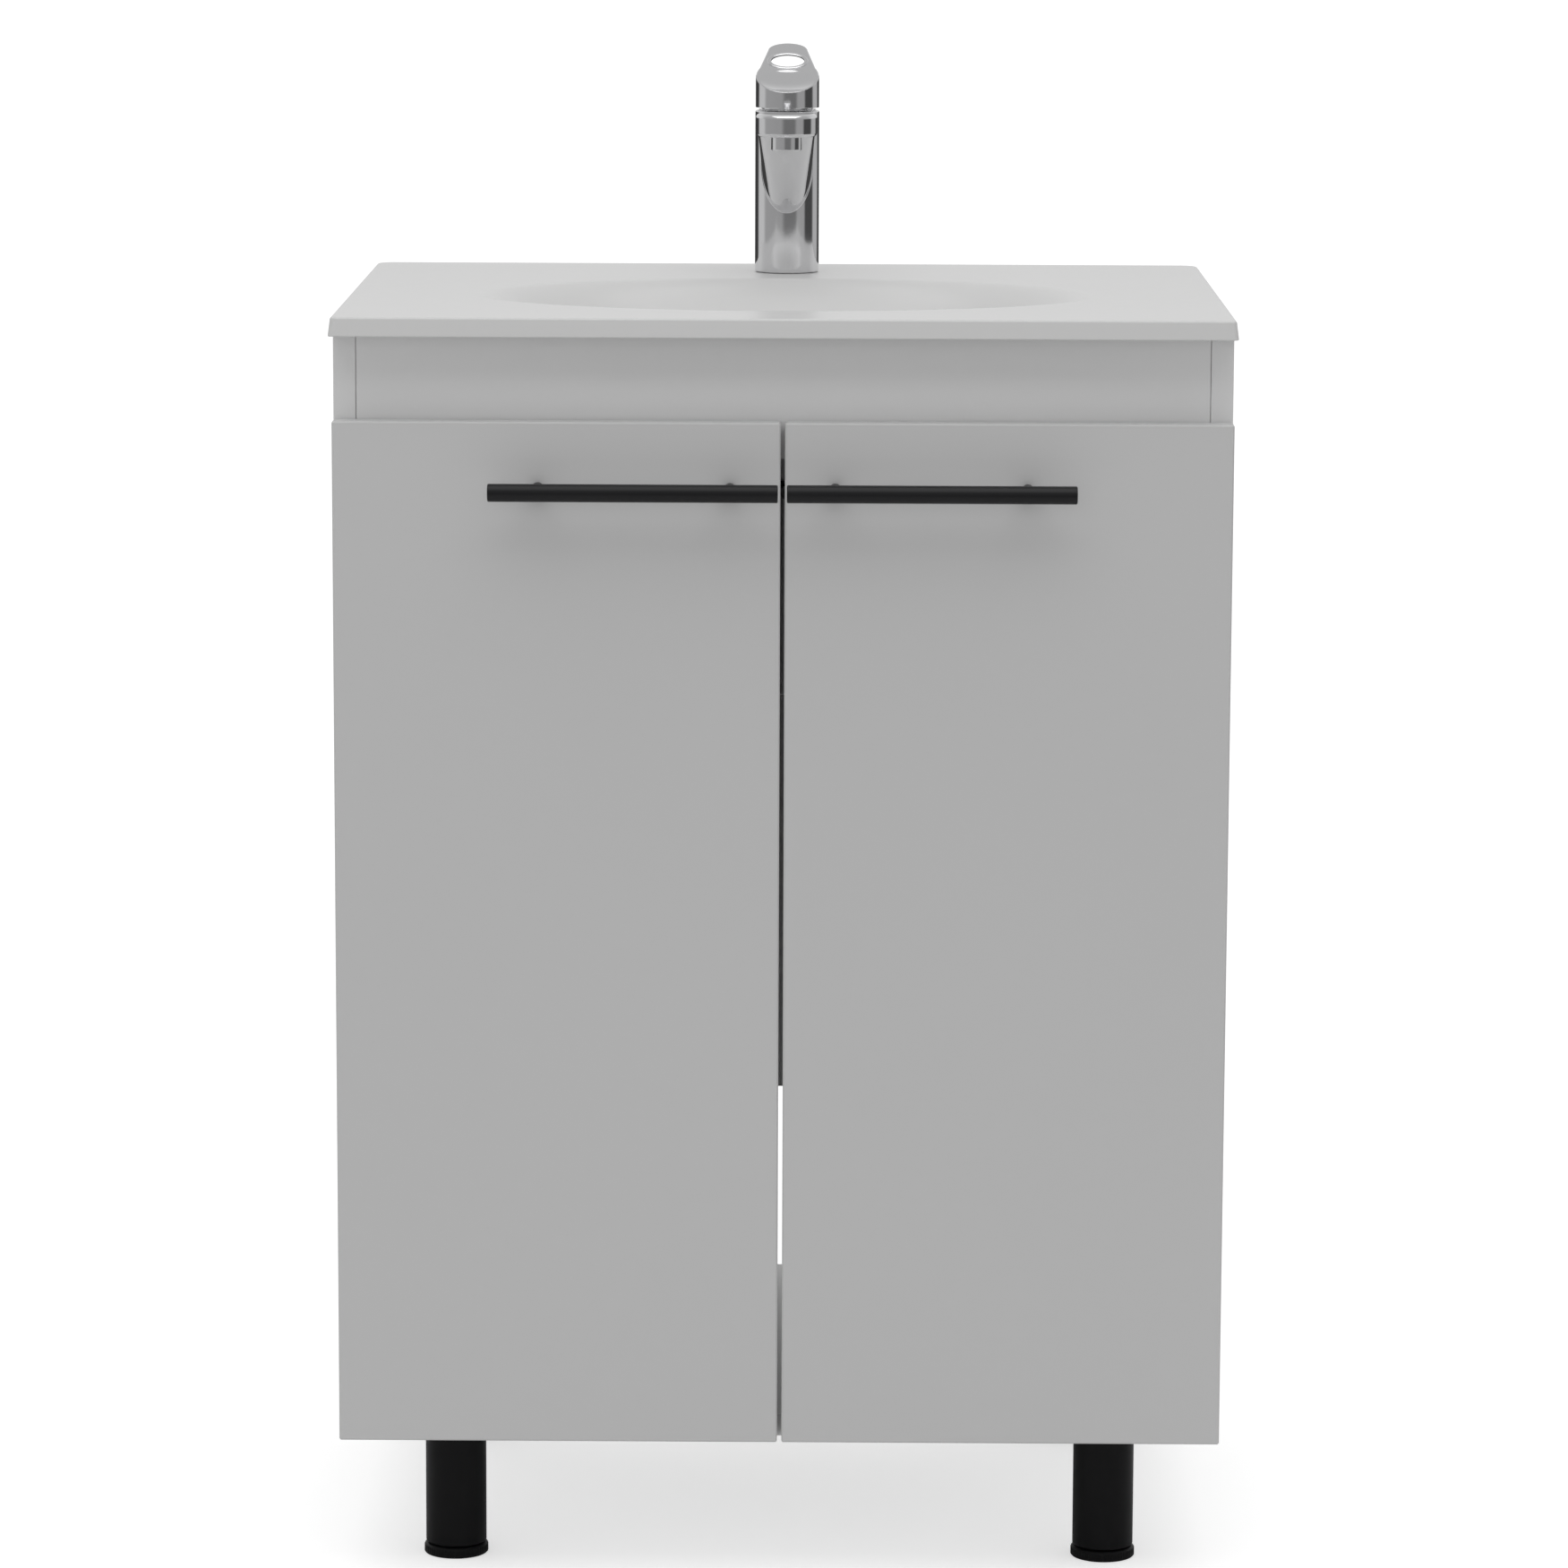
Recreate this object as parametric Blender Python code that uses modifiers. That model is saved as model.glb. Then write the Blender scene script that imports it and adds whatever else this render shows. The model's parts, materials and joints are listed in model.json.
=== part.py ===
"""Two-door bathroom vanity on four round legs: board carcass, washtop with a moulded basin,
single-lever faucet and push drain. Metres, +Z up, +Y towards the wall, the floor at Z = 0,
origin at the bottom centre of the whole object."""
import math

import bmesh
import bpy
from mathutils import Matrix, Vector

GAP = 0.0003                      # air left between two pieces that touch
SIDES = {"left": -1, "right": 1}

# Cabinet
CABINET_WIDTH = 0.600
BOARD = 0.015
LEG_HEIGHT = 0.100
CARCASS_HEIGHT = 0.755
CARCASS_DEPTH = 0.4325
RAIL_HEIGHT = 0.083
BACK_SLOT_HEIGHT = 0.140
BOARD_EASING = 0.0005

# Doors and bar handles
DOOR_HEIGHT = 0.698
DOOR_THICKNESS = 0.015
DOOR_SPLIT = 0.003                # between the two doors
DOOR_TO_CARCASS = 0.0025
DOOR_EDGE_BEVEL = 0.001
HANDLE_LENGTH = 0.192
HANDLE_POST_SPAN = 0.128
HANDLE_RADIUS = 0.006
HANDLE_POST_RADIUS = 0.004
HANDLE_PROJECTION = 0.035         # door face to the front of the bar
HANDLE_DROP = 0.044               # door top to the bar's axis
HANDLE_FROM_CENTRE = 0.003

# Cup hinges: the pin runs inside the cup, near the door's outer edge
HINGE_FROM_DOOR_END = 0.100
PIN_FROM_EDGE = 0.0075
PIN_FROM_FACE = 0.0062
PIN_RADIUS = 0.0012
PIN_HALF_LENGTH = 0.0080
CUP_FROM_PIN = 0.013
CUP_RADIUS = 0.0175
CUP_WALL = 0.001
CUP_SINK = 0.012                  # cup floor below the door's back face
CUP_RISE = 0.001                  # wing above the door's back face
CUP_FLOOR = 0.0008
CUP_WING_SPAN = (0.012, 0.024)    # across the wings, from the pin
CUP_WING_HALF_LENGTH = 0.031
ARM_HALF_HEIGHT = 0.005
KNUCKLE_RADIUS = 0.0022
PLATE_EAR_HALF_LENGTH = 0.024
PLATE_RAIL_HALF_WIDTH = 0.0055

# Legs
LEG_RADIUS = 0.021
LEG_FROM_CENTRE = 0.225
LEG_INSET_FRONT = 0.0605          # carcass front edge to leg axis
LEG_INSET_BACK = 0.058
FOOT_RADIUS = 0.0222
FOOT_HEIGHT = 0.0072
FOOT_STUD_RADIUS = 0.004
FOOT_STUD_TOP = 0.036
FOOT_ROUNDING = 0.003
LEG_PLATE_RADIUS = 0.031
LEG_PLATE_THICKNESS = 0.003

# Washtop and basin
TOP_THICKNESS = 0.013
TOP_SIDE_OVERHANG = 0.0015
TOP_FRONT_OVERHANG = 0.010
TOP_DRAFT = 0.0016
TOP_BACK_CORNER = 0.012
TOP_FRONT_CORNER = 0.003
BASIN_HALF_WIDTH = 0.215
BASIN_SQUASH = 0.63               # depth of the oval over its width
BASIN_DEPTH = 0.115
BASIN_FULLNESS = 1.8
BASIN_WALL = 0.011
BASIN_FROM_BACK = 0.263

# Faucet
FAUCET_FROM_BACK = 0.070
FAUCET_RADIUS = 0.0230
FAUCET_HEIGHT = 0.116
SPOUT_REACH = 0.098
SPOUT_TIP_RADIUS = 0.0217
LEVER_RADIUS = 0.0228
LEVER_SLOPE = math.radians(26.4)
LEVER_HEIGHT_ON_AXIS = 0.025
LEVER_TIP_REACH = 0.043

SPOUT_OVERRUN = 0.006             # end of the spout's loft past the tip's centre
SPOUT_TIP_UNDER = 0.1030
SPOUT_TIP_OVER = 0.1190
SPOUT_TIP_ROUNDING = 0.003
COLUMN_RIM = 0.001
AERATOR_RADIUS = 0.0108
AERATOR_DROP = 0.0100             # tip's underside to the aerator's mouth
TAP_HOLE_RADIUS = 0.0175
SHANK_RADIUS = 0.014
SHANK_LENGTH = 0.063
INLET_RADIUS = 0.0055
INLET_LENGTH = 0.017
INLET_FROM_AXIS = 0.0072
WASHER_THICKNESS = 0.003
TAP_NUT_HEIGHT = 0.009
HEAD_RADIUS = 0.0185
HEAD_NECK_RADIUS = 0.0205
HEAD_NECK_TOP = 0.0009
LEVER_BOTTOM = 0.0022
LEVER_HOLLOW_RADIUS = 0.0190
GRIP_THICKNESS = 0.0052
GRIP_TIP_RADIUS = 0.009
GRIP_REAR_RELIEF = math.radians(15.7)
DISH_RADIUS = 0.050
DISH_DEPTH = 0.0012
DISH_FROM_AXIS = 0.008
LOOP_HALF_SIZE = (0.0120, 0.0051)
LOOP_AT = (0, 0.0187, 0.0343)     # from the lever's pivot
LOOP_TILT = math.radians(8)

# Push drain
DRAIN_SEAT_RADIUS = 0.033
DRAIN_SEAT_SINK = 0.0025
DRAIN_HOLE_RADIUS = 0.0212
FLANGE_RADIUS = 0.0325
FLANGE_LIP = 0.0270
FLANGE_SINK = 0.0008
DRAIN_TUBE_RADIUS = 0.0205
DRAIN_TUBE_BORE = 0.0175
DRAIN_TUBE_DROP = 0.053
DRAIN_NUT_RADIUS = 0.031
DRAIN_NUT_BORE = 0.0208
DRAIN_NUT_HEIGHT = 0.0084
GASKET_THICKNESS = 0.004
TAILPIECE_RADIUS = 0.0160
TAILPIECE_BORE = 0.0142
TAILPIECE_TOP = 0.041             # below the basin floor
TAILPIECE_BOTTOM = 0.163
STOPPER_RADIUS = 0.0260
STOPPER_RISE = 0.0046
STOPPER_STEM_RADIUS = 0.004
STOPPER_STEM_LENGTH = 0.020

# Derived planes
DEPTH = HANDLE_PROJECTION + DOOR_THICKNESS + DOOR_TO_CARCASS + CARCASS_DEPTH
DOOR_FRONT_Y = -DEPTH / 2 + HANDLE_PROJECTION
DOOR_BACK_Y = DOOR_FRONT_Y + DOOR_THICKNESS
CARCASS_FRONT_Y = DOOR_BACK_Y + DOOR_TO_CARCASS
BACK_Y = CARCASS_FRONT_Y + CARCASS_DEPTH
DOOR_BOTTOM_Z = LEG_HEIGHT
DOOR_TOP_Z = DOOR_BOTTOM_Z + DOOR_HEIGHT
CARCASS_TOP_Z = LEG_HEIGHT + CARCASS_HEIGHT
DECK_Z = CARCASS_TOP_Z + TOP_THICKNESS
INNER_HALF_WIDTH = CABINET_WIDTH / 2 - BOARD - GAP
BASIN_Y = BACK_Y - BASIN_FROM_BACK
BASIN_FLOOR_Z = DECK_Z - BASIN_DEPTH
FAUCET_Y = BACK_Y - FAUCET_FROM_BACK
PIVOT_Z = DECK_Z + FAUCET_HEIGHT


def clear_scene():
    for old in list(bpy.data.objects):
        bpy.data.objects.remove(old, do_unlink=True)


def new_collection(name):
    collection = bpy.data.collections.new(name)
    bpy.context.scene.collection.children.link(collection)
    return collection


clear_scene()
PARTS = new_collection("bathroom_vanity")
CUTTERS = new_collection("cutters")


def finish(name, colour, roughness, metallic=0.0):
    material = bpy.data.materials.new(name)
    material.use_nodes = True
    shader = material.node_tree.nodes["Principled BSDF"]
    shader.inputs["Base Color"].default_value = (*colour, 1.0)
    shader.inputs["Roughness"].default_value = roughness
    shader.inputs["Metallic"].default_value = metallic
    return material


BOARD_WHITE = finish("melamine_board", (0.68, 0.68, 0.68), 0.45)
DOOR_WHITE = finish("door_lacquer", (0.70, 0.70, 0.70), 0.38)
CERAMIC = finish("washtop_ceramic", (0.82, 0.82, 0.81), 0.15)
BLACK_METAL = finish("black_metal", (0.015, 0.015, 0.016), 0.40)
BLACK_PLASTIC = finish("black_plastic", (0.02, 0.02, 0.02), 0.50)
CHROME = finish("chrome", (0.80, 0.80, 0.81), 0.06, 1.0)
NICKEL = finish("nickel_steel", (0.62, 0.61, 0.59), 0.30, 1.0)
BRASS = finish("plain_brass", (0.62, 0.47, 0.24), 0.35, 1.0)
RUBBER = finish("rubber", (0.03, 0.03, 0.03), 0.80)
GREY_PLASTIC = finish("grey_plastic", (0.30, 0.30, 0.31), 0.50)


def axis_empty(name, position):
    """Empty that sits on a joint's axis and carries everything that moves with it."""
    empty = bpy.data.objects.new(name, None)
    empty.location = position
    PARTS.objects.link(empty)
    return empty


def place(obj, material, position=(0, 0, 0), parent=None, rotation=(0, 0, 0)):
    PARTS.objects.link(obj)
    obj.data.materials.append(material)
    obj.parent = parent
    origin = parent.location if parent else Vector((0, 0, 0))
    obj.location = Vector(position) - origin
    obj.rotation_euler = rotation
    return obj


def as_cutter(obj, position=(0, 0, 0), rotation=(0, 0, 0)):
    CUTTERS.objects.link(obj)
    obj.location = position
    obj.rotation_euler = rotation
    obj.hide_render = True
    obj.display_type = "WIRE"
    return obj


def solid(name, bm):
    mesh = bpy.data.meshes.new(name)
    bm.to_mesh(mesh)
    bm.free()
    return bpy.data.objects.new(name, mesh)


def box(name, low, high):
    """Box between two corners, in the object's own coordinates."""
    size = Vector(high) - Vector(low)
    centre = (Vector(high) + Vector(low)) / 2
    bm = bmesh.new()
    bmesh.ops.create_cube(bm, size=1.0, matrix=Matrix.Translation(centre) @ Matrix.Diagonal((*size, 1)))
    return solid(name, bm)


def cylinder(name, radius, low, high, segments=32):
    """Upright cylinder from low to high on the object's own Z axis."""
    bm = bmesh.new()
    bmesh.ops.create_cone(
        bm, cap_ends=True, segments=segments, radius1=radius, radius2=radius, depth=high - low,
        matrix=Matrix.Translation((0, 0, (low + high) / 2)),
    )
    return solid(name, bm)


def prism(name, outline, low, high):
    """Upright prism over a flat outline of (x, y) points, counter-clockwise from above."""
    bm = bmesh.new()
    base = bm.faces.new([bm.verts.new((x, y, low)) for x, y in outline])
    top = bmesh.ops.extrude_face_region(bm, geom=[base])["geom"]
    moved = [item for item in top if isinstance(item, bmesh.types.BMVert)]
    bmesh.ops.translate(bm, verts=moved, vec=(0, 0, high - low))
    bmesh.ops.recalc_face_normals(bm, faces=bm.faces)
    return solid(name, bm)


def turned(name, profile, steps=32, ring=False):
    """Profile of (radius, z) points, down its outer side, turned about Z. A ring is a closed profile."""
    count = len(profile)
    edges = [(i, i + 1) for i in range(count - 1)]
    if ring:
        edges.append((count - 1, 0))
    mesh = bpy.data.meshes.new(name)
    mesh.from_pydata([(r, 0, z) for r, z in profile], edges, [])
    obj = bpy.data.objects.new(name, mesh)
    screw = obj.modifiers.new("turn", "SCREW")
    screw.axis = "Z"
    screw.steps = steps
    screw.render_steps = steps
    screw.use_merge_vertices = True
    screw.merge_threshold = 0.00001
    return obj


def ring(name, outer, inner, low, high, steps=32):
    return turned(name, [(outer, high), (outer, low), (inner, low), (inner, high)], steps, ring=True)


def combine(obj, other, operation="DIFFERENCE"):
    modifier = obj.modifiers.new(operation.lower(), "BOOLEAN")
    modifier.operation = operation
    modifier.object = other


def ease_edges(obj, width, segments=1):
    bevel = obj.modifiers.new("ease", "BEVEL")
    bevel.width = width
    bevel.segments = segments
    bevel.limit_method = "ANGLE"


def board(name, low, high):
    obj = box(name, low, high)
    ease_edges(obj, BOARD_EASING)
    return place(obj, BOARD_WHITE)


def make_carcass():
    """Two sides, bottom, front rail and back; the back stops short to leave the pipe slot open."""
    top = CARCASS_TOP_Z - GAP
    half = CABINET_WIDTH / 2
    for side, sign in SIDES.items():
        x = sorted((sign * half, sign * (half - BOARD)))
        board(f"side_panel_{side}", (x[0], CARCASS_FRONT_Y, LEG_HEIGHT), (x[1], BACK_Y, top))
    inner = INNER_HALF_WIDTH
    floor_top = LEG_HEIGHT + BOARD
    board("bottom_panel", (-inner, CARCASS_FRONT_Y, LEG_HEIGHT), (inner, BACK_Y, floor_top))
    rail_back = CARCASS_FRONT_Y + BOARD
    board("front_rail", (-inner, CARCASS_FRONT_Y, CARCASS_TOP_Z - RAIL_HEIGHT), (inner, rail_back, top))
    slot_top = floor_top + BACK_SLOT_HEIGHT
    board("back_panel", (-inner, BACK_Y - BOARD, slot_top), (inner, BACK_Y, top))


def basin_depth(radius, half_width, depth):
    """Depth of the soft oval bowl: level at the rim and at the floor."""
    return depth * (1 + math.cos(math.pi * (radius / half_width) ** BASIN_FULLNESS)) / 2


def bowl_operand(name, half_width, depth, sink, roof, steps=48):
    """Solid of the bowl's surface, closed off at the height roof above the deck."""
    rings = 10
    profile = [(0, roof), (half_width, roof)]
    for i in range(rings, -1, -1):
        radius = half_width * i / rings
        profile.append((radius, -basin_depth(radius, half_width, depth) - sink))
    bowl = turned(name, profile, steps)
    as_cutter(bowl, (0, BASIN_Y, DECK_Z))
    bowl.scale = (1, BASIN_SQUASH, 1)
    return bowl


def rounded_slab():
    """Slab with eased upright corners and a slight draft on its front and sides."""
    half = CABINET_WIDTH / 2 + TOP_SIDE_OVERHANG
    front = CARCASS_FRONT_Y - DOOR_TO_CARCASS - DOOR_THICKNESS - TOP_FRONT_OVERHANG
    corners = (
        (half - TOP_FRONT_CORNER, front + TOP_FRONT_CORNER, TOP_FRONT_CORNER, -90),
        (half - TOP_BACK_CORNER, BACK_Y - TOP_BACK_CORNER, TOP_BACK_CORNER, 0),
        (-half + TOP_BACK_CORNER, BACK_Y - TOP_BACK_CORNER, TOP_BACK_CORNER, 90),
        (-half + TOP_FRONT_CORNER, front + TOP_FRONT_CORNER, TOP_FRONT_CORNER, 180),
    )
    outline = []
    for x, y, radius, start in corners:
        for step in range(5):
            angle = math.radians(start + 22.5 * step)
            outline.append((x + radius * math.cos(angle), y + radius * math.sin(angle)))
    slab = prism("washtop", outline, CARCASS_TOP_Z, DECK_Z)
    length = BACK_Y - front
    for vertex in slab.data.vertices:
        if vertex.co.z > DECK_Z - GAP:
            vertex.co.x *= 1 - TOP_DRAFT / half
            vertex.co.y = BACK_Y + (vertex.co.y - BACK_Y) * (1 - TOP_DRAFT / length)
    return slab


def make_washtop():
    """Cast washtop in one piece: slab, oval bowl below it, drain seat and faucet hole."""
    washtop = place(rounded_slab(), CERAMIC)
    outer = BASIN_HALF_WIDTH + BASIN_WALL
    clear = 0.010
    combine(washtop, bowl_operand("bowl_outside", outer, BASIN_DEPTH, BASIN_WALL, -TOP_THICKNESS / 2), "UNION")
    combine(washtop, bowl_operand("bowl_inside", BASIN_HALF_WIDTH, BASIN_DEPTH, -GAP, 2 * clear))
    seat = as_cutter(cylinder("drain_seat", DRAIN_SEAT_RADIUS, -DRAIN_SEAT_SINK, clear), (0, BASIN_Y, BASIN_FLOOR_Z))
    combine(washtop, seat)
    hole = as_cutter(cylinder("drain_hole", DRAIN_HOLE_RADIUS, -3 * clear, clear), (0, BASIN_Y, BASIN_FLOOR_Z))
    combine(washtop, hole)
    tap_hole = as_cutter(cylinder("faucet_hole", TAP_HOLE_RADIUS, -3 * clear, clear), (0, FAUCET_Y, DECK_Z))
    combine(washtop, tap_hole)


def make_drain():
    """Push drain: flange and tube through the bowl, sealed and nutted below, stopper on top."""
    centre = (0, BASIN_Y, BASIN_FLOOR_Z)
    seat = -DRAIN_SEAT_SINK + GAP
    flange = turned("drain_flange", [
        (FLANGE_LIP, -FLANGE_SINK), (FLANGE_RADIUS, -FLANGE_SINK), (FLANGE_RADIUS, seat), (DRAIN_TUBE_RADIUS, seat),
        (DRAIN_TUBE_RADIUS, -DRAIN_TUBE_DROP), (DRAIN_TUBE_BORE, -DRAIN_TUBE_DROP), (DRAIN_TUBE_BORE, -0.008),
    ], ring=True)
    place(flange, CHROME, centre)
    gasket_top = -BASIN_WALL - GAP
    gasket_bottom = gasket_top - GASKET_THICKNESS
    gasket = ring("drain_gasket", DRAIN_NUT_RADIUS, DRAIN_NUT_BORE, gasket_bottom, gasket_top)
    place(gasket, RUBBER, centre)
    nut_top = gasket_bottom - GAP
    nut = cylinder("drain_nut", DRAIN_NUT_RADIUS, nut_top - DRAIN_NUT_HEIGHT, nut_top, segments=6)
    place(nut, GREY_PLASTIC, centre)
    combine(nut, as_cutter(cylinder("drain_nut_hole", DRAIN_NUT_BORE, -0.060, 0.010), centre))
    tailpiece = ring("drain_tailpiece", TAILPIECE_RADIUS, TAILPIECE_BORE, -TAILPIECE_BOTTOM, -TAILPIECE_TOP)
    place(tailpiece, CHROME, centre)
    axis = axis_empty("drain_stopper_axis", centre)
    stopper = turned("drain_stopper", [
        (0, STOPPER_RISE), (0.012, 0.0042), (0.021, 0.0030), (STOPPER_RADIUS - 0.0005, 0.0014),
        (STOPPER_RADIUS, GAP), (STOPPER_STEM_RADIUS, GAP), (STOPPER_STEM_RADIUS, -STOPPER_STEM_LENGTH),
        (0, -STOPPER_STEM_LENGTH),
    ])
    place(stopper, CHROME, centre, axis)


def make_legs():
    """Four round legs: screwed-on plate, tube and a levelling foot on a stud."""
    rows = {"front": CARCASS_FRONT_Y + LEG_INSET_FRONT, "rear": BACK_Y - LEG_INSET_BACK}
    tube_bottom = FOOT_HEIGHT + 0.001
    plate_bottom = LEG_HEIGHT - GAP - LEG_PLATE_THICKNESS
    bore = FOOT_STUD_RADIUS + 0.0004
    bore_top = FOOT_STUD_TOP + 0.004
    for row, y in rows.items():
        for side, sign in SIDES.items():
            where = (sign * LEG_FROM_CENTRE, y, 0)
            tag = f"{row}_{side}"
            plate = cylinder(f"leg_plate_{tag}", LEG_PLATE_RADIUS, plate_bottom, LEG_HEIGHT - GAP)
            place(plate, BLACK_PLASTIC, where)
            top = plate_bottom - GAP
            tube = turned(f"leg_tube_{tag}", [
                (0, top), (LEG_RADIUS, top), (LEG_RADIUS, tube_bottom), (bore, tube_bottom), (bore, bore_top),
                (0, bore_top),
            ])
            place(tube, BLACK_PLASTIC, where)
            stud = FOOT_STUD_RADIUS
            profile = [(0, FOOT_STUD_TOP), (stud, FOOT_STUD_TOP), (stud, FOOT_HEIGHT)]
            for step in range(4):
                angle = math.radians(90 - 30 * step)
                profile.append((FOOT_RADIUS - FOOT_ROUNDING * (1 - math.cos(angle)),
                                FOOT_HEIGHT - FOOT_ROUNDING * (1 - math.sin(angle))))
            profile += [(FOOT_RADIUS, 0.0005), (FOOT_RADIUS - 0.0005, 0), (0, 0)]
            place(turned(f"leg_foot_{tag}", profile), BLACK_PLASTIC, where)


def arm_outline(sign):
    """Gooseneck arm seen from above, about the pin: knuckle, band round the side's edge, body."""
    knuckle = KNUCKLE_RADIUS
    low, high = -0.0013, 0.0002
    start = math.asin(high / knuckle)
    end = 2 * math.pi + math.asin(low / knuckle)
    steps = 20
    points = []
    for i in range(steps + 1):
        angle = start + (end - start) * i / steps
        points.append((knuckle * math.cos(angle), knuckle * math.sin(angle)))
    points += [(0.0135, low), (0.0135, 0.026), (0.020, 0.030), (0.020, 0.075), (0.012, 0.075), (0.012, high)]
    return [(-sign * x, y) for x, y in points]


def flat_curve(name, outlines, half_thickness):
    """Flat plate from closed outlines, the second one a hole in the first."""
    curve = bpy.data.curves.new(name, "CURVE")
    curve.dimensions = "2D"
    curve.fill_mode = "BOTH"
    curve.extrude = half_thickness
    for outline in outlines:
        spline = curve.splines.new("POLY")
        spline.points.add(len(outline) - 1)
        for point, (x, y) in zip(spline.points, outline):
            point.co = (x, y, 0, 1)
        spline.use_cyclic_u = True
    return curve


def circle(radius, steps):
    angles = [2 * math.pi * i / steps for i in range(steps)]
    return [(radius * math.cos(a), radius * math.sin(a)) for a in angles]


def make_cup(name, sign, pin, parent):
    """Pressed cup with two screw wings, sunk into the door's back face; its axis runs along Y."""
    back = DOOR_BACK_Y - pin[1]
    centre_x = -sign * CUP_FROM_PIN
    facing = (math.radians(-90), 0, 0)
    x = sorted(-sign * across for across in CUP_WING_SPAN)
    tall = CUP_WING_HALF_LENGTH
    cup = box(name, (x[0], back + GAP, -tall), (x[1], back + CUP_RISE, tall))
    place(cup, NICKEL, pin, parent)
    mouth = Vector(pin) + Vector((centre_x, back, 0))
    body = cylinder(f"{name}_body", CUP_RADIUS, -CUP_SINK, CUP_RISE + 0.0001)
    combine(cup, as_cutter(body, mouth, facing), "UNION")
    hollow = cylinder(f"{name}_hollow", CUP_RADIUS - CUP_WALL, -CUP_SINK + CUP_FLOOR, 0.010)
    combine(cup, as_cutter(hollow, mouth, facing))


def make_plate(name, sign, pin):
    """Mounting plate on the side's inner face: two screw ears and the rail the arm slides on."""
    face = CABINET_WIDTH / 2 - BOARD - abs(pin[0])
    inward = [(-sign * (-face + d)) for d in (GAP, 0.0018, 0.0042)]
    y_front = CARCASS_FRONT_Y - pin[1]
    ears = sorted((inward[0], inward[1]))
    rail = sorted((inward[0], inward[2]))
    tall = PLATE_EAR_HALF_LENGTH
    plate = box(name, (ears[0], y_front + 0.030, -tall), (ears[1], y_front + 0.045, tall))
    place(plate, NICKEL, pin)
    low = (rail[0], y_front + 0.019, -PLATE_RAIL_HALF_WIDTH)
    high = (rail[1], y_front + 0.064, PLATE_RAIL_HALF_WIDTH)
    combine(plate, as_cutter(box(f"{name}_rail", low, high), pin), "UNION")


def make_door(side, sign):
    """Slab door with two hinge cups, a bar handle on two posts, all on the hinge pins' axis."""
    pin_x = sign * (CABINET_WIDTH / 2 - PIN_FROM_EDGE)
    pin_y = DOOR_FRONT_Y + PIN_FROM_FACE
    axis = axis_empty(f"door_{side}_axis", (pin_x, pin_y, 0))
    x = sorted((sign * DOOR_SPLIT / 2, sign * CABINET_WIDTH / 2))
    low = Vector((x[0] - pin_x, DOOR_FRONT_Y - pin_y, DOOR_BOTTOM_Z))
    high = Vector((x[1] - pin_x, DOOR_BACK_Y - pin_y, DOOR_TOP_Z))
    door = place(box(f"door_{side}", low, high), DOOR_WHITE, (pin_x, pin_y, 0), axis)
    ease_edges(door, DOOR_EDGE_BEVEL)
    arm_curve = flat_curve("hinge_arm", [arm_outline(sign), circle(PIN_RADIUS + 0.0001, 24)], ARM_HALF_HEIGHT)
    heights = {"lower": DOOR_BOTTOM_Z + HINGE_FROM_DOOR_END, "upper": DOOR_TOP_Z - HINGE_FROM_DOOR_END}
    for level, z in heights.items():
        tag = f"{side}_{level}"
        pin = (pin_x, pin_y, z)
        pocket = cylinder(f"cup_pocket_{tag}", CUP_RADIUS + GAP, -CUP_SINK - GAP, 0.010)
        mouth = (pin_x - sign * CUP_FROM_PIN, DOOR_BACK_Y, z)
        combine(door, as_cutter(pocket, mouth, (math.radians(-90), 0, 0)))
        make_cup(f"hinge_cup_{tag}", sign, pin, axis)
        rod = cylinder(f"hinge_pin_{tag}", PIN_RADIUS, -PIN_HALF_LENGTH, PIN_HALF_LENGTH, segments=24)
        place(rod, NICKEL, pin, axis)
        arm = bpy.data.objects.new(f"hinge_arm_{tag}", arm_curve)
        PARTS.objects.link(arm)
        arm.location = pin
        make_plate(f"hinge_plate_{tag}", sign, pin)
    arm_curve.materials.append(NICKEL)
    make_handle(side, sign, axis)


def make_handle(side, sign, axis):
    """Round bar across the door, on two posts that screw in from behind."""
    z = DOOR_TOP_Z - HANDLE_DROP
    bar_y = DOOR_FRONT_Y - HANDLE_PROJECTION + HANDLE_RADIUS
    middle = sign * (HANDLE_FROM_CENTRE + HANDLE_LENGTH / 2)
    half = HANDLE_LENGTH / 2
    rim = 0.0008
    bar = turned(f"handle_bar_{side}", [
        (0, half), (HANDLE_RADIUS - rim, half), (HANDLE_RADIUS, half - rim),
        (HANDLE_RADIUS, -half + rim), (HANDLE_RADIUS - rim, -half), (0, -half),
    ])
    place(bar, BLACK_METAL, (middle, bar_y, z), axis, (0, math.radians(90), 0))
    post_length = HANDLE_PROJECTION - 2 * HANDLE_RADIUS - 2 * GAP
    for place_name, offset in (("inner", -1), ("outer", 1)):
        post = cylinder(f"handle_post_{side}_{place_name}", HANDLE_POST_RADIUS, 0, post_length, segments=24)
        x = middle + sign * offset * HANDLE_POST_SPAN / 2
        place(post, BLACK_METAL, (x, DOOR_FRONT_Y - GAP, z), axis, (math.radians(90), 0, 0))


def spout_ring(bm, distance, top, bottom, half_width, segments=32):
    """Upright oval section of the spout, at a distance in front of the faucet's axis."""
    middle = (top + bottom) / 2
    half_height = (top - bottom) / 2
    ring_verts = []
    for i in range(segments):
        angle = 2 * math.pi * i / segments
        x = half_width * math.cos(angle)
        z = middle + half_height * math.sin(angle)
        ring_verts.append(bm.verts.new((x, -distance, z)))
    return ring_verts


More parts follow.
